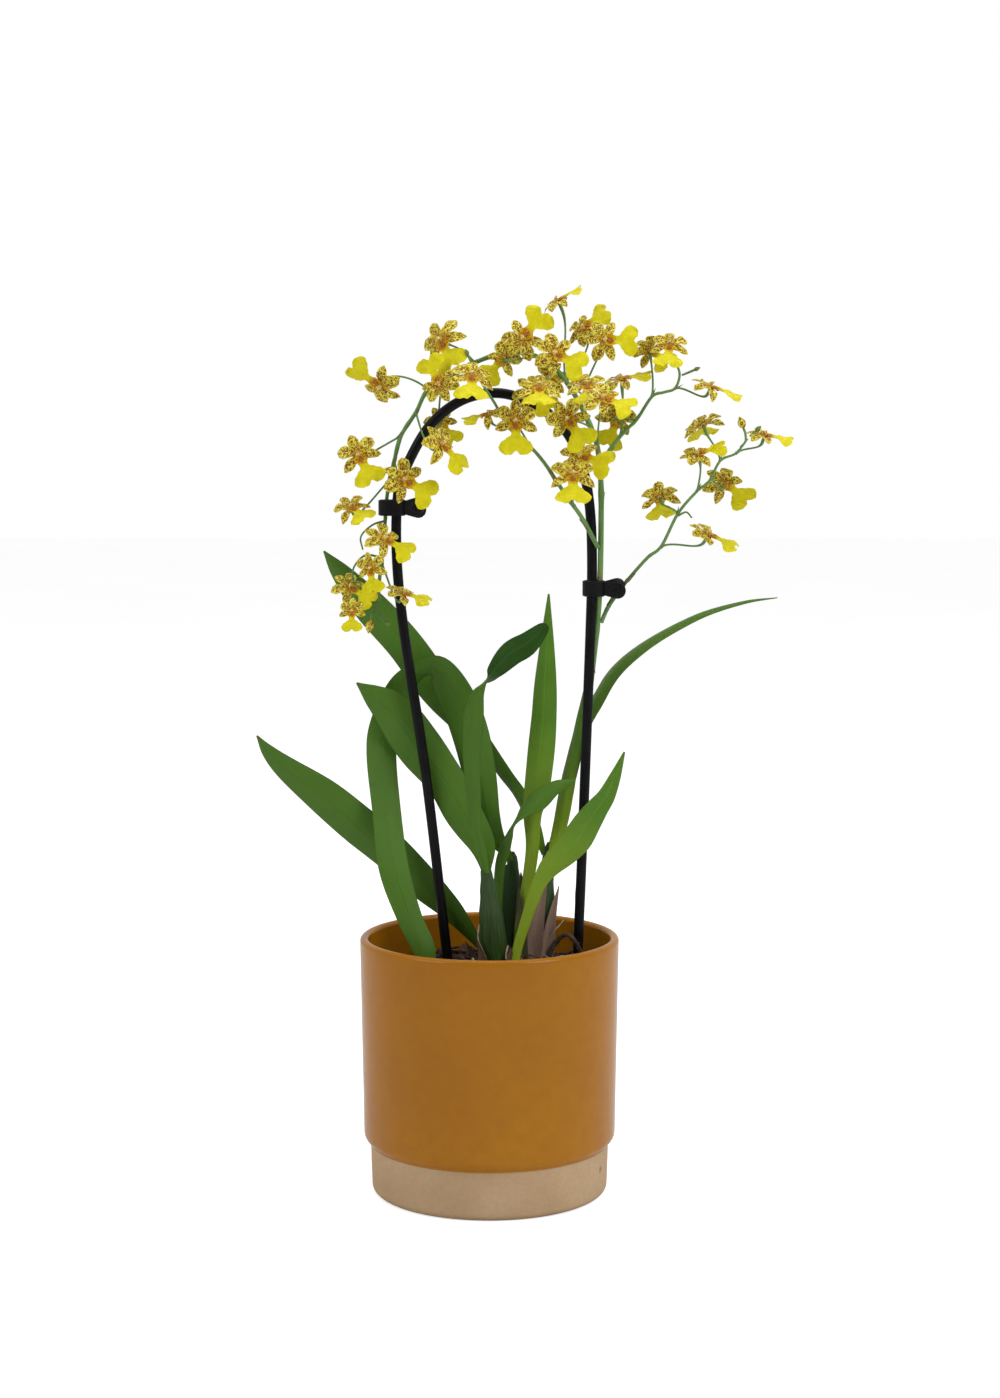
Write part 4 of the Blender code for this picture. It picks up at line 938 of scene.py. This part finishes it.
def sheaths():
    """Dry and half-dry bracts round the bulbs' feet, a ragged cut leaf stub, and a leaf's brown scar."""
    brown, olive = sheath_look(), sheath_look("sheath_olive", (0.045, 0.055, 0.018), (0.17, 0.15, 0.06))
    dark = sheath_look("stub", (0.012, 0.035, 0.008), (0.045, 0.11, 0.022))
    rosy = sheath_look("sheath_rosy", (0.16, 0.09, 0.06), (0.42, 0.29, 0.22))
    strips = [
        ([(23, -8.6, 118, 0, 6), (24, -9.2, 135, 5, 9), (26.5, -8.8, 152, 10, 6.5),
          (31, -7, 172, 20, 0.5)], 3),
        ([(30, -7.5, 118, -20, 5), (31.5, -8, 134, -20, 7.5), (33.5, -7, 150, -25, 5.5),
          (37.5, -5, 168, -30, 0.5)], 3),
        ([(18.5, -9, 118, 15, 5), (17.5, -9.5, 136, 15, 6.5), (17.2, -9, 152, 18, 5),
          (15.5, -8, 168, 25, 0.5)], 1),
        ([(0, -18.6, 118, 20, 5), (-3, -18.8, 129, 25, 5.5), (-6.5, -18, 141, 35, 0.5)], 0),
        ([(8, -18.6, 118, -15, 5), (11, -18.4, 128, -20, 5.5), (11.5, -18, 137, -25, 0.5)], 0),
        ([(15, 2.0, 118, 0, 6), (16.5, 1.6, 140, 5, 7), (17.5, 2, 160, 10, 6), (17.0, 3, 174, 15, 0.5)], 1),
        ([(7, 2.2, 118, 0, 7), (8.5, 1.6, 145, 0, 8.4), (10.5, 2.2, 170, 5, 7.5), (11.5, 3, 183, 5, 2)], 2),
        ([(-4, -4, 119, 40, 3), (-9, -3, 130, 40, 3.6), (-13, -3, 137, 50, 0.4)], 0),
    ]
    shapes = []
    for k, (rows, look) in enumerate(strips):
        shape = strap(rows, fold=-0.45, seed=9.1 * k, columns=10, thickness=0.4, look=look)
        if look == 2:
            cut = max(p.z for p in shape.points) - 5.0
            for number, p in enumerate(shape.points):
                ragged = cut + 3.0 * noise.noise(Vector((p.x * 1.3, 4.0, 0)))
                shape.points[number] = Vector((p.x, p.y, min(p.z, ragged)))
        shapes.append(shape)
    piece("bracts", shapes, [brown, olive, dark, rosy])


# ======================================================================================
# Stems and flowers
# ======================================================================================

SPIKE, UPPER, LOWER, LEFT = "flower_spike", "branch_upper", "branch_lower", "branch_left"
STEMS = {  # radius at the foot, radius at the tip, route from foot to tip
    SPIKE: (1.9, 0.8, [
        (47, 10, 116), (48.2, 10, 150), (49.3, 9.5, 178), (50.5, 9, 205), (52.3, 8, 237), (54, 7, 270),
        (57, 4, 300), (58.9, 0, 327), (59.5, -1, 362), (59.2, -2, 386), (57.2, -1, 404),
        (53.4, -0.5, 414.7), (45.4, 0, 430.5), (33.8, 1, 445.7), (20, 2, 452.5), (5, 2, 452),
        (-10, 1, 446.5), (-20, 0.5, 440.3), (-32.5, -0.5, 433.1), (-38.8, -2, 421.5), (-46.8, -2, 408.9),
        (-50.6, -1, 395.1), (-52.8, 0, 386.6), (-54.8, 0, 374), (-55.6, 0, 361.7), (-57.2, -2, 343.1),
        (-58.5, -4, 332.6), (-58.9, -6, 322.1)]),
    UPPER: (1.2, 0.6, [
        (60.7, 0, 392.5), (63.6, 1, 400.4), (67.9, 2, 406.7), (73.7, 2, 413.1), (78.5, 2, 417.8),
        (86.3, 1, 429.7), (92.6, 0.5, 432), (98.4, 0, 434.1), (100.8, 0, 441.5), (98, 0, 449.5)]),
    LOWER: (1.2, 0.6, [
        (60, 4.2, 309.5), (63.3, 7.5, 316.6), (66.8, 9.5, 321.7), (70.6, 8.5, 327.2), (75.7, 3, 334.3),
        (84.3, -4, 344.7), (91.4, -7, 351), (99.9, -8, 368.1), (110, -7, 379.9), (116.4, -6, 385.2),
        (122.4, -5, 396), (130.7, -4, 399.9), (136.8, -3, 407.5)]),
    LEFT: (1.3, 0.6, [
        (57.8, -2.9, 350), (49, -9, 366), (41, -11, 377), (29, -12, 395), (20, -12, 405),
        (10, -13, 414), (3, -14, 426), (-4, -14, 437), (-9, -13, 447)]),
}
OVARY_LENGTH = 3.0

# Each flower: its stem, how far along the stem its stalk starts, its place, the way it faces,
# the way its lip points, and its size.
FLOWER_ROWS = [
    (SPIKE, 0.995, (-72, -23, 317.5), (-1, -8, 2), (0, -2, -8), 0.62),
    (SPIKE, 0.995, (-74, -11, 329), (3, -6, 5), (7, -1, -5), 0.85),
    (SPIKE, 0.962, (-45.5, -16, 326), (2.5, -3, 7), (8, -1, -3), 0.85),
    (SPIKE, 0.959, (-62, -22, 340), (-3, -7, 1), (1, -2, -8), 0.75),
    (SPIKE, 0.944, (-55.5, -15, 354.5), (3, -5, 5), (8, -1, -4), 0.95),
    (SPIKE, 0.878, (-73, -4, 371), (-1, -5, 6), (5, -4, -6), 0.85),
    (SPIKE, 0.858, (-44.5, -18, 386), (2, -8, 2), (7, -1, -4), 1.00),
    (SPIKE, 0.832, (-69, -7, 399), (0, -7, 2), (4, -1, -8), 1.00),
    (SPIKE, 0.804, (-25, -22, 404.5), (5, -5, 4), (6, 0, -8), 1.00),
    (SPIKE, 0.778, (-57.5, -4, 436), (-3, -5, -4), (-6, 1, 6), 1.05),
    (SPIKE, 0.750, (-26, -16, 436), (-3, -8, 2), (-4, -1, 7), 0.90),
    (SPIKE, 0.724, (-25, 0, 459), (-4, -6, 2), (4, -2, -6), 1.12),
    (LEFT, 0.935, (-9, -22, 440), (1, -6, 6), (0, -6, -5), 1.05),
    (SPIKE, 0.673, (18, -10, 460), (-1, -8, 2), (5, -1, 7), 1.00),
    (SPIKE, 0.645, (34, -18, 452), (2, -8, 2), (7, -2, -3), 1.00),
    (SPIKE, 0.620, (36.5, 6, 480), (-4, -2, 8), (8, -1, 4), 0.80),
    (SPIKE, 0.607, (50.5, 8, 465.5), (-3, -5, 4), (7, -1, 6), 0.90),
    (SPIKE, 0.592, (61, -8, 459), (0, -8, 2), (8, -1, 0), 0.95),
    (UPPER, 0.608, (85.5, 8, 454), (0, 6, 4), (6, 4, -4), 0.85),
    (UPPER, 1.000, (95, -6, 456.5), (0, -6, 5), (-1, -5, -6), 0.90),
    (UPPER, 0.782, (117, -4, 434.5), (3, -2, 7), (9, -1, -4), 0.95),
    (SPIKE, 0.637, (26, -28, 434), (0, -5, 7), (0, -7, -4), 1.00),
    (SPIKE, 0.612, (51, -18, 435), (0, -5, 7), (1, -7, -4), 1.00),
    (UPPER, 0.249, (70, 2, 438.5), (-1, -3, 8), (8, -1, 1), 0.90),
    (SPIKE, 0.545, (59, -37, 428), (1, -6, 6), (6, -3, -1), 0.95),
    (UPPER, 0.406, (68, 12, 418), (3, 7, 1), (-3, 1, -7), 0.95),
    (LEFT, 0.546, (14, -22, 417), (0, -9, 1), (0, -1, -8), 1.00),
    (LEFT, 0.652, (0, -5, 420), (-2, -3, 7), (-8, -1, -3), 0.80),
    (SPIKE, 0.565, (41, -26, 418), (-1, -8, 1), (4, -1, -6), 1.00),
    (SPIKE, 0.520, (48, -17, 398), (-1, -7, 4), (7, -3, -2), 1.00),
    (LEFT, 0.224, (43.5, -33, 389), (0, -7, 5), (0, -5, -7), 1.05),
    (LOWER, 0.855, (113, -4, 415), (-2.5, 4, 7), (1, 7, -4), 1.00),
    (LOWER, 0.698, (110, -14, 399), (-2, -4, 7), (8, -1, 3), 0.85),
    (LOWER, 0.580, (90.5, -4, 376.5), (-1, 6, 5), (1, 5, -6), 0.95),
    (LOWER, 0.769, (125, 4, 383.5), (2, 6, 4), (6, 1, -5), 1.00),
    (LOWER, 0.926, (146, 0, 409), (2, -3, 8), (8, -1, -2), 0.85),
    (LOWER, 0.430, (116, -6, 356.5), (3.5, -3, 7), (8, -1, -4.2), 0.95),
]
FLOWERS = {f"flower_{number:02}": row for number, row in enumerate(FLOWER_ROWS, 1)}

# Flowers that the solids leave out, seen between the others.
EXTRA_FLOWERS = {
    "flower_between_1": (SPIKE, 0.655, (7.5, -8, 449.5), (-2, 7, 2), (-5, 2, -5), 0.85),
    "flower_between_2": (SPIKE, 0.625, (32, 2, 439), (-2, -7, 2), (-3, 0, -7), 0.9),
    "flower_between_3": (LEFT, 0.62, (22, -6, 432), (1, -7, 3), (5, -1, -5), 0.85),
    "flower_between_4": (SPIKE, 0.76, (-26, 10, 416), (1, 7, 3), (4, 3, -6), 0.80),
}
# Flowers whose stalks rise in a high arch.
ARCHED_STALKS = ("flower_10", "flower_12")


def flower_frame(row):
    """Place, facing direction, lip direction (square to it) and size of a flower."""
    _, _, place, face, lip, size = row
    face, lip = Vector(face).normalized(), Vector(lip)
    lip = (lip - face * lip.dot(face)).normalized()
    return Vector(place), face, lip, size


def pedicel(name, row, stem_route, seed):
    """A flower's stalk, thin where it leaves its stem and swelling into the ovary behind the flower."""
    place, face, _, size = flower_frame(row)
    start, along = point_at(stem_route, row[1])
    end = place - face * (OVARY_LENGTH * size)
    span = (end - start).length
    out = (end - start).normalized()
    arch = 0.9 if name in ARCHED_STALKS else 0.15
    first = start + (out * 0.75 + along * 0.25 + Vector((0, 0, arch))) * span * 0.35
    neck = end - face
    last = neck - face * span * 0.3
    route, steps = [], 16
    for k in range(steps + 1):
        t = k / steps
        early, late = start * (1 - t) + first * 3 * t, last * 3 * (1 - t) + neck * t
        route.append(early * (1 - t) ** 2 + late * t ** 2)
    route += [end, end + face * OVARY_LENGTH * size * 0.5, place - face * 0.2]
    shares = [k / (len(route) - 1) for k in range(len(route))]
    radii = [through([(0, 0.95), (0.08, 0.55), (0.55, 0.5), (0.85, 0.92), (1.0, 0.75)], t) for t in shares]
    return tube(route, radii, 8, seed=seed)


def bract(spot, along, out, radius, length, width, seed):
    """A small pointed scale that hugs a stem."""
    across = along.cross(out)

    def place(u, v):
        half = width / 2 * (1 - v ** 1.6) + 0.08
        lean = radius + 0.12 + 0.9 * v * v
        return spot + along * (length * v) + across * (half * u) + out * (lean - 0.55 * half * u * u)

    return sheet(6, 6, place, 0.3, lambda u, v, front: (u, v, seed), 1)


def bud(spot, along, length, width, seed, look):
    """A closed bud with three shallow seams."""
    side = along.orthogonal().normalized()
    other = along.cross(side)
    sides, levels = 15, 12
    points, lays = [], []
    for level in range(levels + 1):
        t = level / levels
        swell = max(0.12, sin(pi * (0.06 + 0.9 * t ** 0.85)))
        for k in range(sides):
            angle = 2 * pi * k / sides
            r = width / 2 * swell * (1 - 0.07 * cos(3 * angle) ** 8)
            points.append(spot + along * (length * t) + (side * cos(angle) + other * sin(angle)) * r)
            lays.append((width / 2 * cos(angle), length * t + 2, seed + 0.3 * sin(angle)))
    return Shape(points, capped_rings(levels + 1, sides), lays, look)


# Buds: the route of the thin stalk that ends in each, then the bud's length and width.
BUDS = {
    SPIKE: [
        ([(-59.9, -5.6, 322), (-61, -8, 318), (-62.5, -9, 314.5), (-63, -9, 312)], 7.5, 4.6, 2),
        ([(-60, -6, 320.5), (-58, -7, 314), (-55, -8, 311)], 3.2, 2.4, 3),
    ],
    UPPER: [([(102, 0, 441), (104.5, -1, 442), (108, -2, 443.5)], 4.0, 2.2, 3)],
    LOWER: [
        ([(133, -3.5, 403), (135.5, -5, 406), (135.5, -5, 410), (134.5, -5, 413)], 6.5, 4.4, 2),
        ([(138, -3, 408.8), (141, -3, 411.5)], 4.0, 2.6, 3),
    ],
    LEFT: [([(-9, -13, 446.6), (-11, -13, 451)], 3.6, 2.4, 3)],
}
# Thin curled stalks whose flowers have dropped.
BARE_STALKS = {
    SPIKE: [
        [(-58.5, -3.5, 345), (-66, -9, 346), (-72, -11, 339), (-71, -12, 331), (-65, -12, 330),
         (-61, -12, 336)],
        [(-55.5, -0.5, 364), (-62, -6, 362), (-68, -8, 356), (-67, -9, 349)],
    ],
    LOWER: [[(100, -8, 367), (104, -12, 369), (107, -13, 366)]],
}
NODE_SHARES = {  # where each stem has a joint with a scale that has no flower
    SPIKE: (0.05, 0.14, 0.23, 0.32, 0.41, 0.49),
    UPPER: (0.12,),
    LOWER: (0.08, 0.22),
    LEFT: (0.1, 0.34),
}


def tapered(line, start, end, dice):
    return tube(line, [mix(start, end, k / len(line)) for k in range(len(line))], 8, seed=dice.random())


def stems():
    looks = [stem_look(), sheath_look("scale", (0.10, 0.13, 0.04), (0.33, 0.30, 0.15)), tepal_look(),
             sheath_look("green_bud", (0.10, 0.19, 0.03), (0.30, 0.36, 0.07))]
    dice = Random(21)
    for name, (foot_radius, tip_radius, rows) in STEMS.items():
        route = smooth_route(rows, 10)
        count = len(route) - 1
        rows_named = [(n, row) for n, row in [*FLOWERS.items(), *EXTRA_FLOWERS.items()] if row[0] == name]
        rows_here = [row for _, row in rows_named]
        joints = sorted([*NODE_SHARES[name], *(row[1] for row in rows_here)])
        radii = []
        for k in range(count + 1):
            t = k / count
            swell = sum(exp(-((t - joint) / 0.006) ** 2) for joint in joints)
            radii.append(mix(foot_radius, tip_radius, t ** 0.8) * (1 + 0.16 * min(swell, 1.3)))
        shapes = [tube(route, radii, 14, seed=dice.random())]
        for number, (flower_name, row) in enumerate(rows_named):
            shapes.append(pedicel(flower_name, row, route, number))
        for joint in joints:
            spot, along = point_at(route, joint - 0.004)
            radius = mix(foot_radius, tip_radius, joint ** 0.8)
            flowering = joint not in NODE_SHARES[name]
            if flowering:
                place = next(Vector(row[2]) for row in rows_here if row[1] == joint)
                out = (place - spot) - along * (place - spot).dot(along)
            else:
                out = along.cross(Vector((dice.uniform(-1, 1), dice.uniform(-1, 1), 0.2)))
            out = out.normalized()
            length = dice.uniform(3.5, 5.0) if flowering else dice.uniform(7.0, 10.0)
            width = radius * (2.2 if flowering else 3.0)
            hug = radius * (0.95 if flowering else 0.8)
            shapes.append(bract(spot, along, out, hug, length, width, dice.random()))
        for rows_bud, length, width, look in BUDS[name]:
            line = smooth_route(rows_bud, 5)
            shapes.append(tapered(line, 0.55, 0.7, dice))
            ahead = (line[-1] - line[-2]).normalized()
            shapes.append(bud(line[-1], ahead, length, width, dice.random(), look))
        for rows_bare in BARE_STALKS.get(name, ()):
            line = smooth_route(rows_bare, 6)
            shapes.append(tapered(line, 0.6, 0.42, dice))
        piece("stalk_" + name, shapes, looks, [name])


TEPAL_OUTLINE = [(0.0, 0.24), (0.2, 0.58), (0.42, 0.92), (0.6, 1.0), (0.78, 0.84), (0.92, 0.45), (1.0, 0.10)]
PETAL_OUTLINE = [(0.0, 0.22), (0.18, 0.52), (0.42, 0.94), (0.62, 1.08), (0.82, 0.92), (0.94, 0.52),
                 (1.0, 0.14)]
LIP_OUTLINE = [(0.0, 0.20), (0.07, 0.36), (0.2, 0.38), (0.32, 0.26), (0.42, 0.26), (0.52, 0.55), (0.64, 0.88),
               (0.78, 1.0), (0.9, 0.9), (1.0, 0.6)]
# Angle, length, width, how far the tip stands forward, how much it curls back, and whether it is a petal.
TEPALS = [
    (90, 12.2, 6.0, 0.9, 1.8, False), (33, 12.3, 7.0, 0.2, 2.0, True), (-22, 12.4, 5.6, -1.0, 1.6, False),
    (202, 12.4, 5.6, -1.0, 1.6, False), (147, 12.3, 7.0, 0.2, 2.0, True),
]
LIP_LENGTH = 18.2
LIP_WIDTH = 18.6
# The warts at the lip's root: x, y, z and radius.
CALLUS = [(0, -1.9, 1.0, 0.8), (-0.8, -2.7, 0.95, 0.62), (0.8, -2.7, 0.95, 0.62), (0, -3.3, 1.0, 0.7),
          (-1.3, -3.6, 0.85, 0.5), (1.3, -3.6, 0.85, 0.5), (0, -4.4, 0.9, 0.45)]


def tepal(angle, length, width, tilt, curl, petal, seed):
    a, outline, wave = radians(angle), PETAL_OUTLINE if petal else TEPAL_OUTLINE, 1.0 if petal else 0.7

    def place(u, v):
        out = 0.8 + (length - 0.8) * v
        half = width / 2 * through(outline, v)
        ripple = wave * sin(8 * v + 3 * seed + (2.1 if u > 0 else 0)) * u * u * sin(pi * min(1, v * 1.1))
        height = tilt * v ** 1.5 - curl * v ** 3 + 0.2 * abs(u) ** 1.3 * half + ripple + 0.3
        return Vector((out * cos(a) - half * u * sin(a), out * sin(a) + half * u * cos(a), height))

    return sheet(8, 12, place, 0.42, lambda u, v, front: (width / 2 * u, length * v, seed), 0)


def lip_shape(seed):
    def place(u, v):
        half = LIP_WIDTH / 2 * through(LIP_OUTLINE, v)
        blade = ease((v - 0.4) / 0.25)
        notch = 0.12 * ease((v - 0.65) / 0.35) * max(0.0, 1 - 2.6 * abs(u)) ** 0.8
        out = LIP_LENGTH * (v - notch)
        ruffle = 0.75 * sin(11 * v + 3 * seed + 2 * (u > 0)) * abs(u) ** 3
        ruffle += 0.5 * sin(7 * u + 5 * seed) * ease((v - 0.7) / 0.3)
        claw = 0.9 * (1 - blade) * abs(u) ** 2
        height = 1.5 * v + claw + blade * (ruffle - 0.016 * (half * u) ** 2 + 0.5) + 0.3
        return Vector((half * u, -out, height))

    def lay(u, v, front):
        return LIP_WIDTH / 2 * through(LIP_OUTLINE, v) * u, LIP_LENGTH * v, seed

    return sheet(18, 18, place, 0.4, lay, 1)


def flower(name, row, number, looks):
    place, face, lip, size = flower_frame(row)
    dice = Random(100 + number)
    seed = number * 0.73 + 0.1
    shapes = []
    for angle, length, width, tilt, curl, petal in TEPALS:
        shapes.append(tepal(
            angle + dice.uniform(-5, 5), length * dice.uniform(0.95, 1.0), width * dice.uniform(0.93, 1.06),
            tilt + dice.uniform(-1.2, 1.6), curl + dice.uniform(-1.2, 2.4), petal, seed + dice.uniform(0, 9)))
    shapes.append(lip_shape(seed))
    column = smooth_route([(0, 0.4, -0.2), (0, 0.6, 1.2), (0, 0.4, 2.6), (0, -0.1, 3.5)], 4)
    radii = [1.2, 1.1, 1.0, 0.95, 0.95, 0.95, 0.95, 1.0, 1.05, 1.0, 0.9, 0.75, 0.5]
    shapes.append(tube(column, radii, 12, look=2))
    shapes.append(lump(Vector((0, -0.35, 3.5)), (0.75, 0.7, 0.55), (0.4, 0, 0), seed, 2, 0.1, 2))
    for side in (-1, 1):
        wing = Vector((side * 1.15, -0.1, 2.7))
        shapes.append(lump(wing, (0.75, 0.4, 0.95), (0, 0.3 * side, 0), seed + side, 2, 0.15, 2))
    for x, y, z, r in CALLUS:
        shapes.append(lump(Vector((x, y, z)), (r, r * 1.1, r * 0.8), (0, 0, seed), seed + x + y, 3, 0.2, 2))
    turn = Matrix((face.cross(lip), -lip, face)).transposed()
    matrix = Matrix.Translation(place) @ (turn * (0.99 * size)).to_4x4()
    return piece("bloom_" + name, [shape.moved(matrix) for shape in shapes], looks,
                 [name] if name in FLOWERS else [])


def flowers():
    looks = [tepal_look(), lip_look(), column_look(), callus_look()]
    for number, (name, row) in enumerate([*FLOWERS.items(), *EXTRA_FLOWERS.items()]):
        flower(name, row, number, looks)


# ======================================================================================
# Stage
# ======================================================================================

LENS = 67.58  # millimetres, as is the sensor
SENSOR_WIDTH = 36.0
CAMERA_PLACE = (0.0057, -1.400, 0.4167)  # metres
CAMERA_DIP = 6.04  # degrees below level
LAMPS = [  # name, place and side in metres, and watts
    ("key", (1.3, -1.0, 1.3), 1.0, 17), ("fill", (-1.3, -0.8, 1.1), 1.0, 9), ("top", (0.0, 0.2, 1.7), 1.2, 10)]


def stage():
    half, depth = 8.0, 0.02
    corners = [Vector((x, y, z)) / MM for z in (-depth, 0.0) for x, y in
               ((-half, -half), (half, -half), (half, half), (-half, half))]
    faces = [(3, 2, 1, 0), (4, 5, 6, 7), (0, 1, 5, 4), (1, 2, 6, 5), (2, 3, 7, 6), (3, 0, 4, 7)]
    mesh = bpy.data.meshes.new("floor")
    mesh.from_pydata([tuple(c * MM) for c in corners], [], faces)
    mesh.materials.append(floor_look())
    floor = bpy.data.objects.new("floor", mesh)
    bpy.context.scene.collection.objects.link(floor)

    world = bpy.data.worlds.new("studio")
    world.use_nodes = True
    tree = world.node_tree
    background = tree.nodes["Background"]
    split = tree.nodes.new("ShaderNodeSeparateXYZ")
    tree.links.new(tree.nodes.new("ShaderNodeTexCoord").outputs["Generated"], split.inputs[0])
    scale = tree.nodes.new("ShaderNodeMath")
    scale.operation = "MULTIPLY_ADD"
    scale.inputs[1].default_value = scale.inputs[2].default_value = 0.5
    tree.links.new(split.outputs[1], scale.inputs[0])
    # The room: dark before the object and light behind it. The backdrop itself is plain white.
    room = tree.nodes.new("ShaderNodeValToRGB")
    for element, (where, grey) in zip(room.color_ramp.elements, ((0.15, 0.16), (0.75, 0.62))):
        element.position, element.color = where, (grey, grey, grey, 1)
    tree.links.new(scale.outputs[0], room.inputs[0])
    backdrop = tree.nodes.new("ShaderNodeMixRGB")
    backdrop.inputs[2].default_value = (1, 1, 1, 1)
    tree.links.new(tree.nodes.new("ShaderNodeLightPath").outputs["Is Camera Ray"], backdrop.inputs[0])
    tree.links.new(room.outputs[0], backdrop.inputs[1])
    tree.links.new(backdrop.outputs[0], background.inputs["Color"])
    bpy.context.scene.world = world
    bpy.context.scene.view_settings.view_transform = "Standard"

    for name, place, size, watts in LAMPS:
        light = bpy.data.lights.new(name, "AREA")
        light.size, light.energy = size, watts
        lamp = bpy.data.objects.new(name, light)
        lamp.location = place
        lamp.rotation_euler = (Vector((0, 0, 0.25)) - Vector(place)).to_track_quat("-Z", "Y").to_euler()
        bpy.context.scene.collection.objects.link(lamp)

    lens = bpy.data.cameras.new("camera")
    lens.lens, lens.sensor_width = LENS, SENSOR_WIDTH
    camera = bpy.data.objects.new("camera", lens)
    camera.location = CAMERA_PLACE
    camera.rotation_euler = (radians(90 - CAMERA_DIP), 0, 0)
    bpy.context.scene.collection.objects.link(camera)
    bpy.context.scene.camera = camera


pot()
bark()
fine_roots()
looped_root()
hoop()
clip("clip_left", "grip_left", 10)
clip("clip_right", "grip_right", -8)
bulbs = bulb_look()
for bulb_name in BULBS:
    bulb(bulb_name, [bulbs])
leaves()
sheaths()
stems()
flowers()
stage()
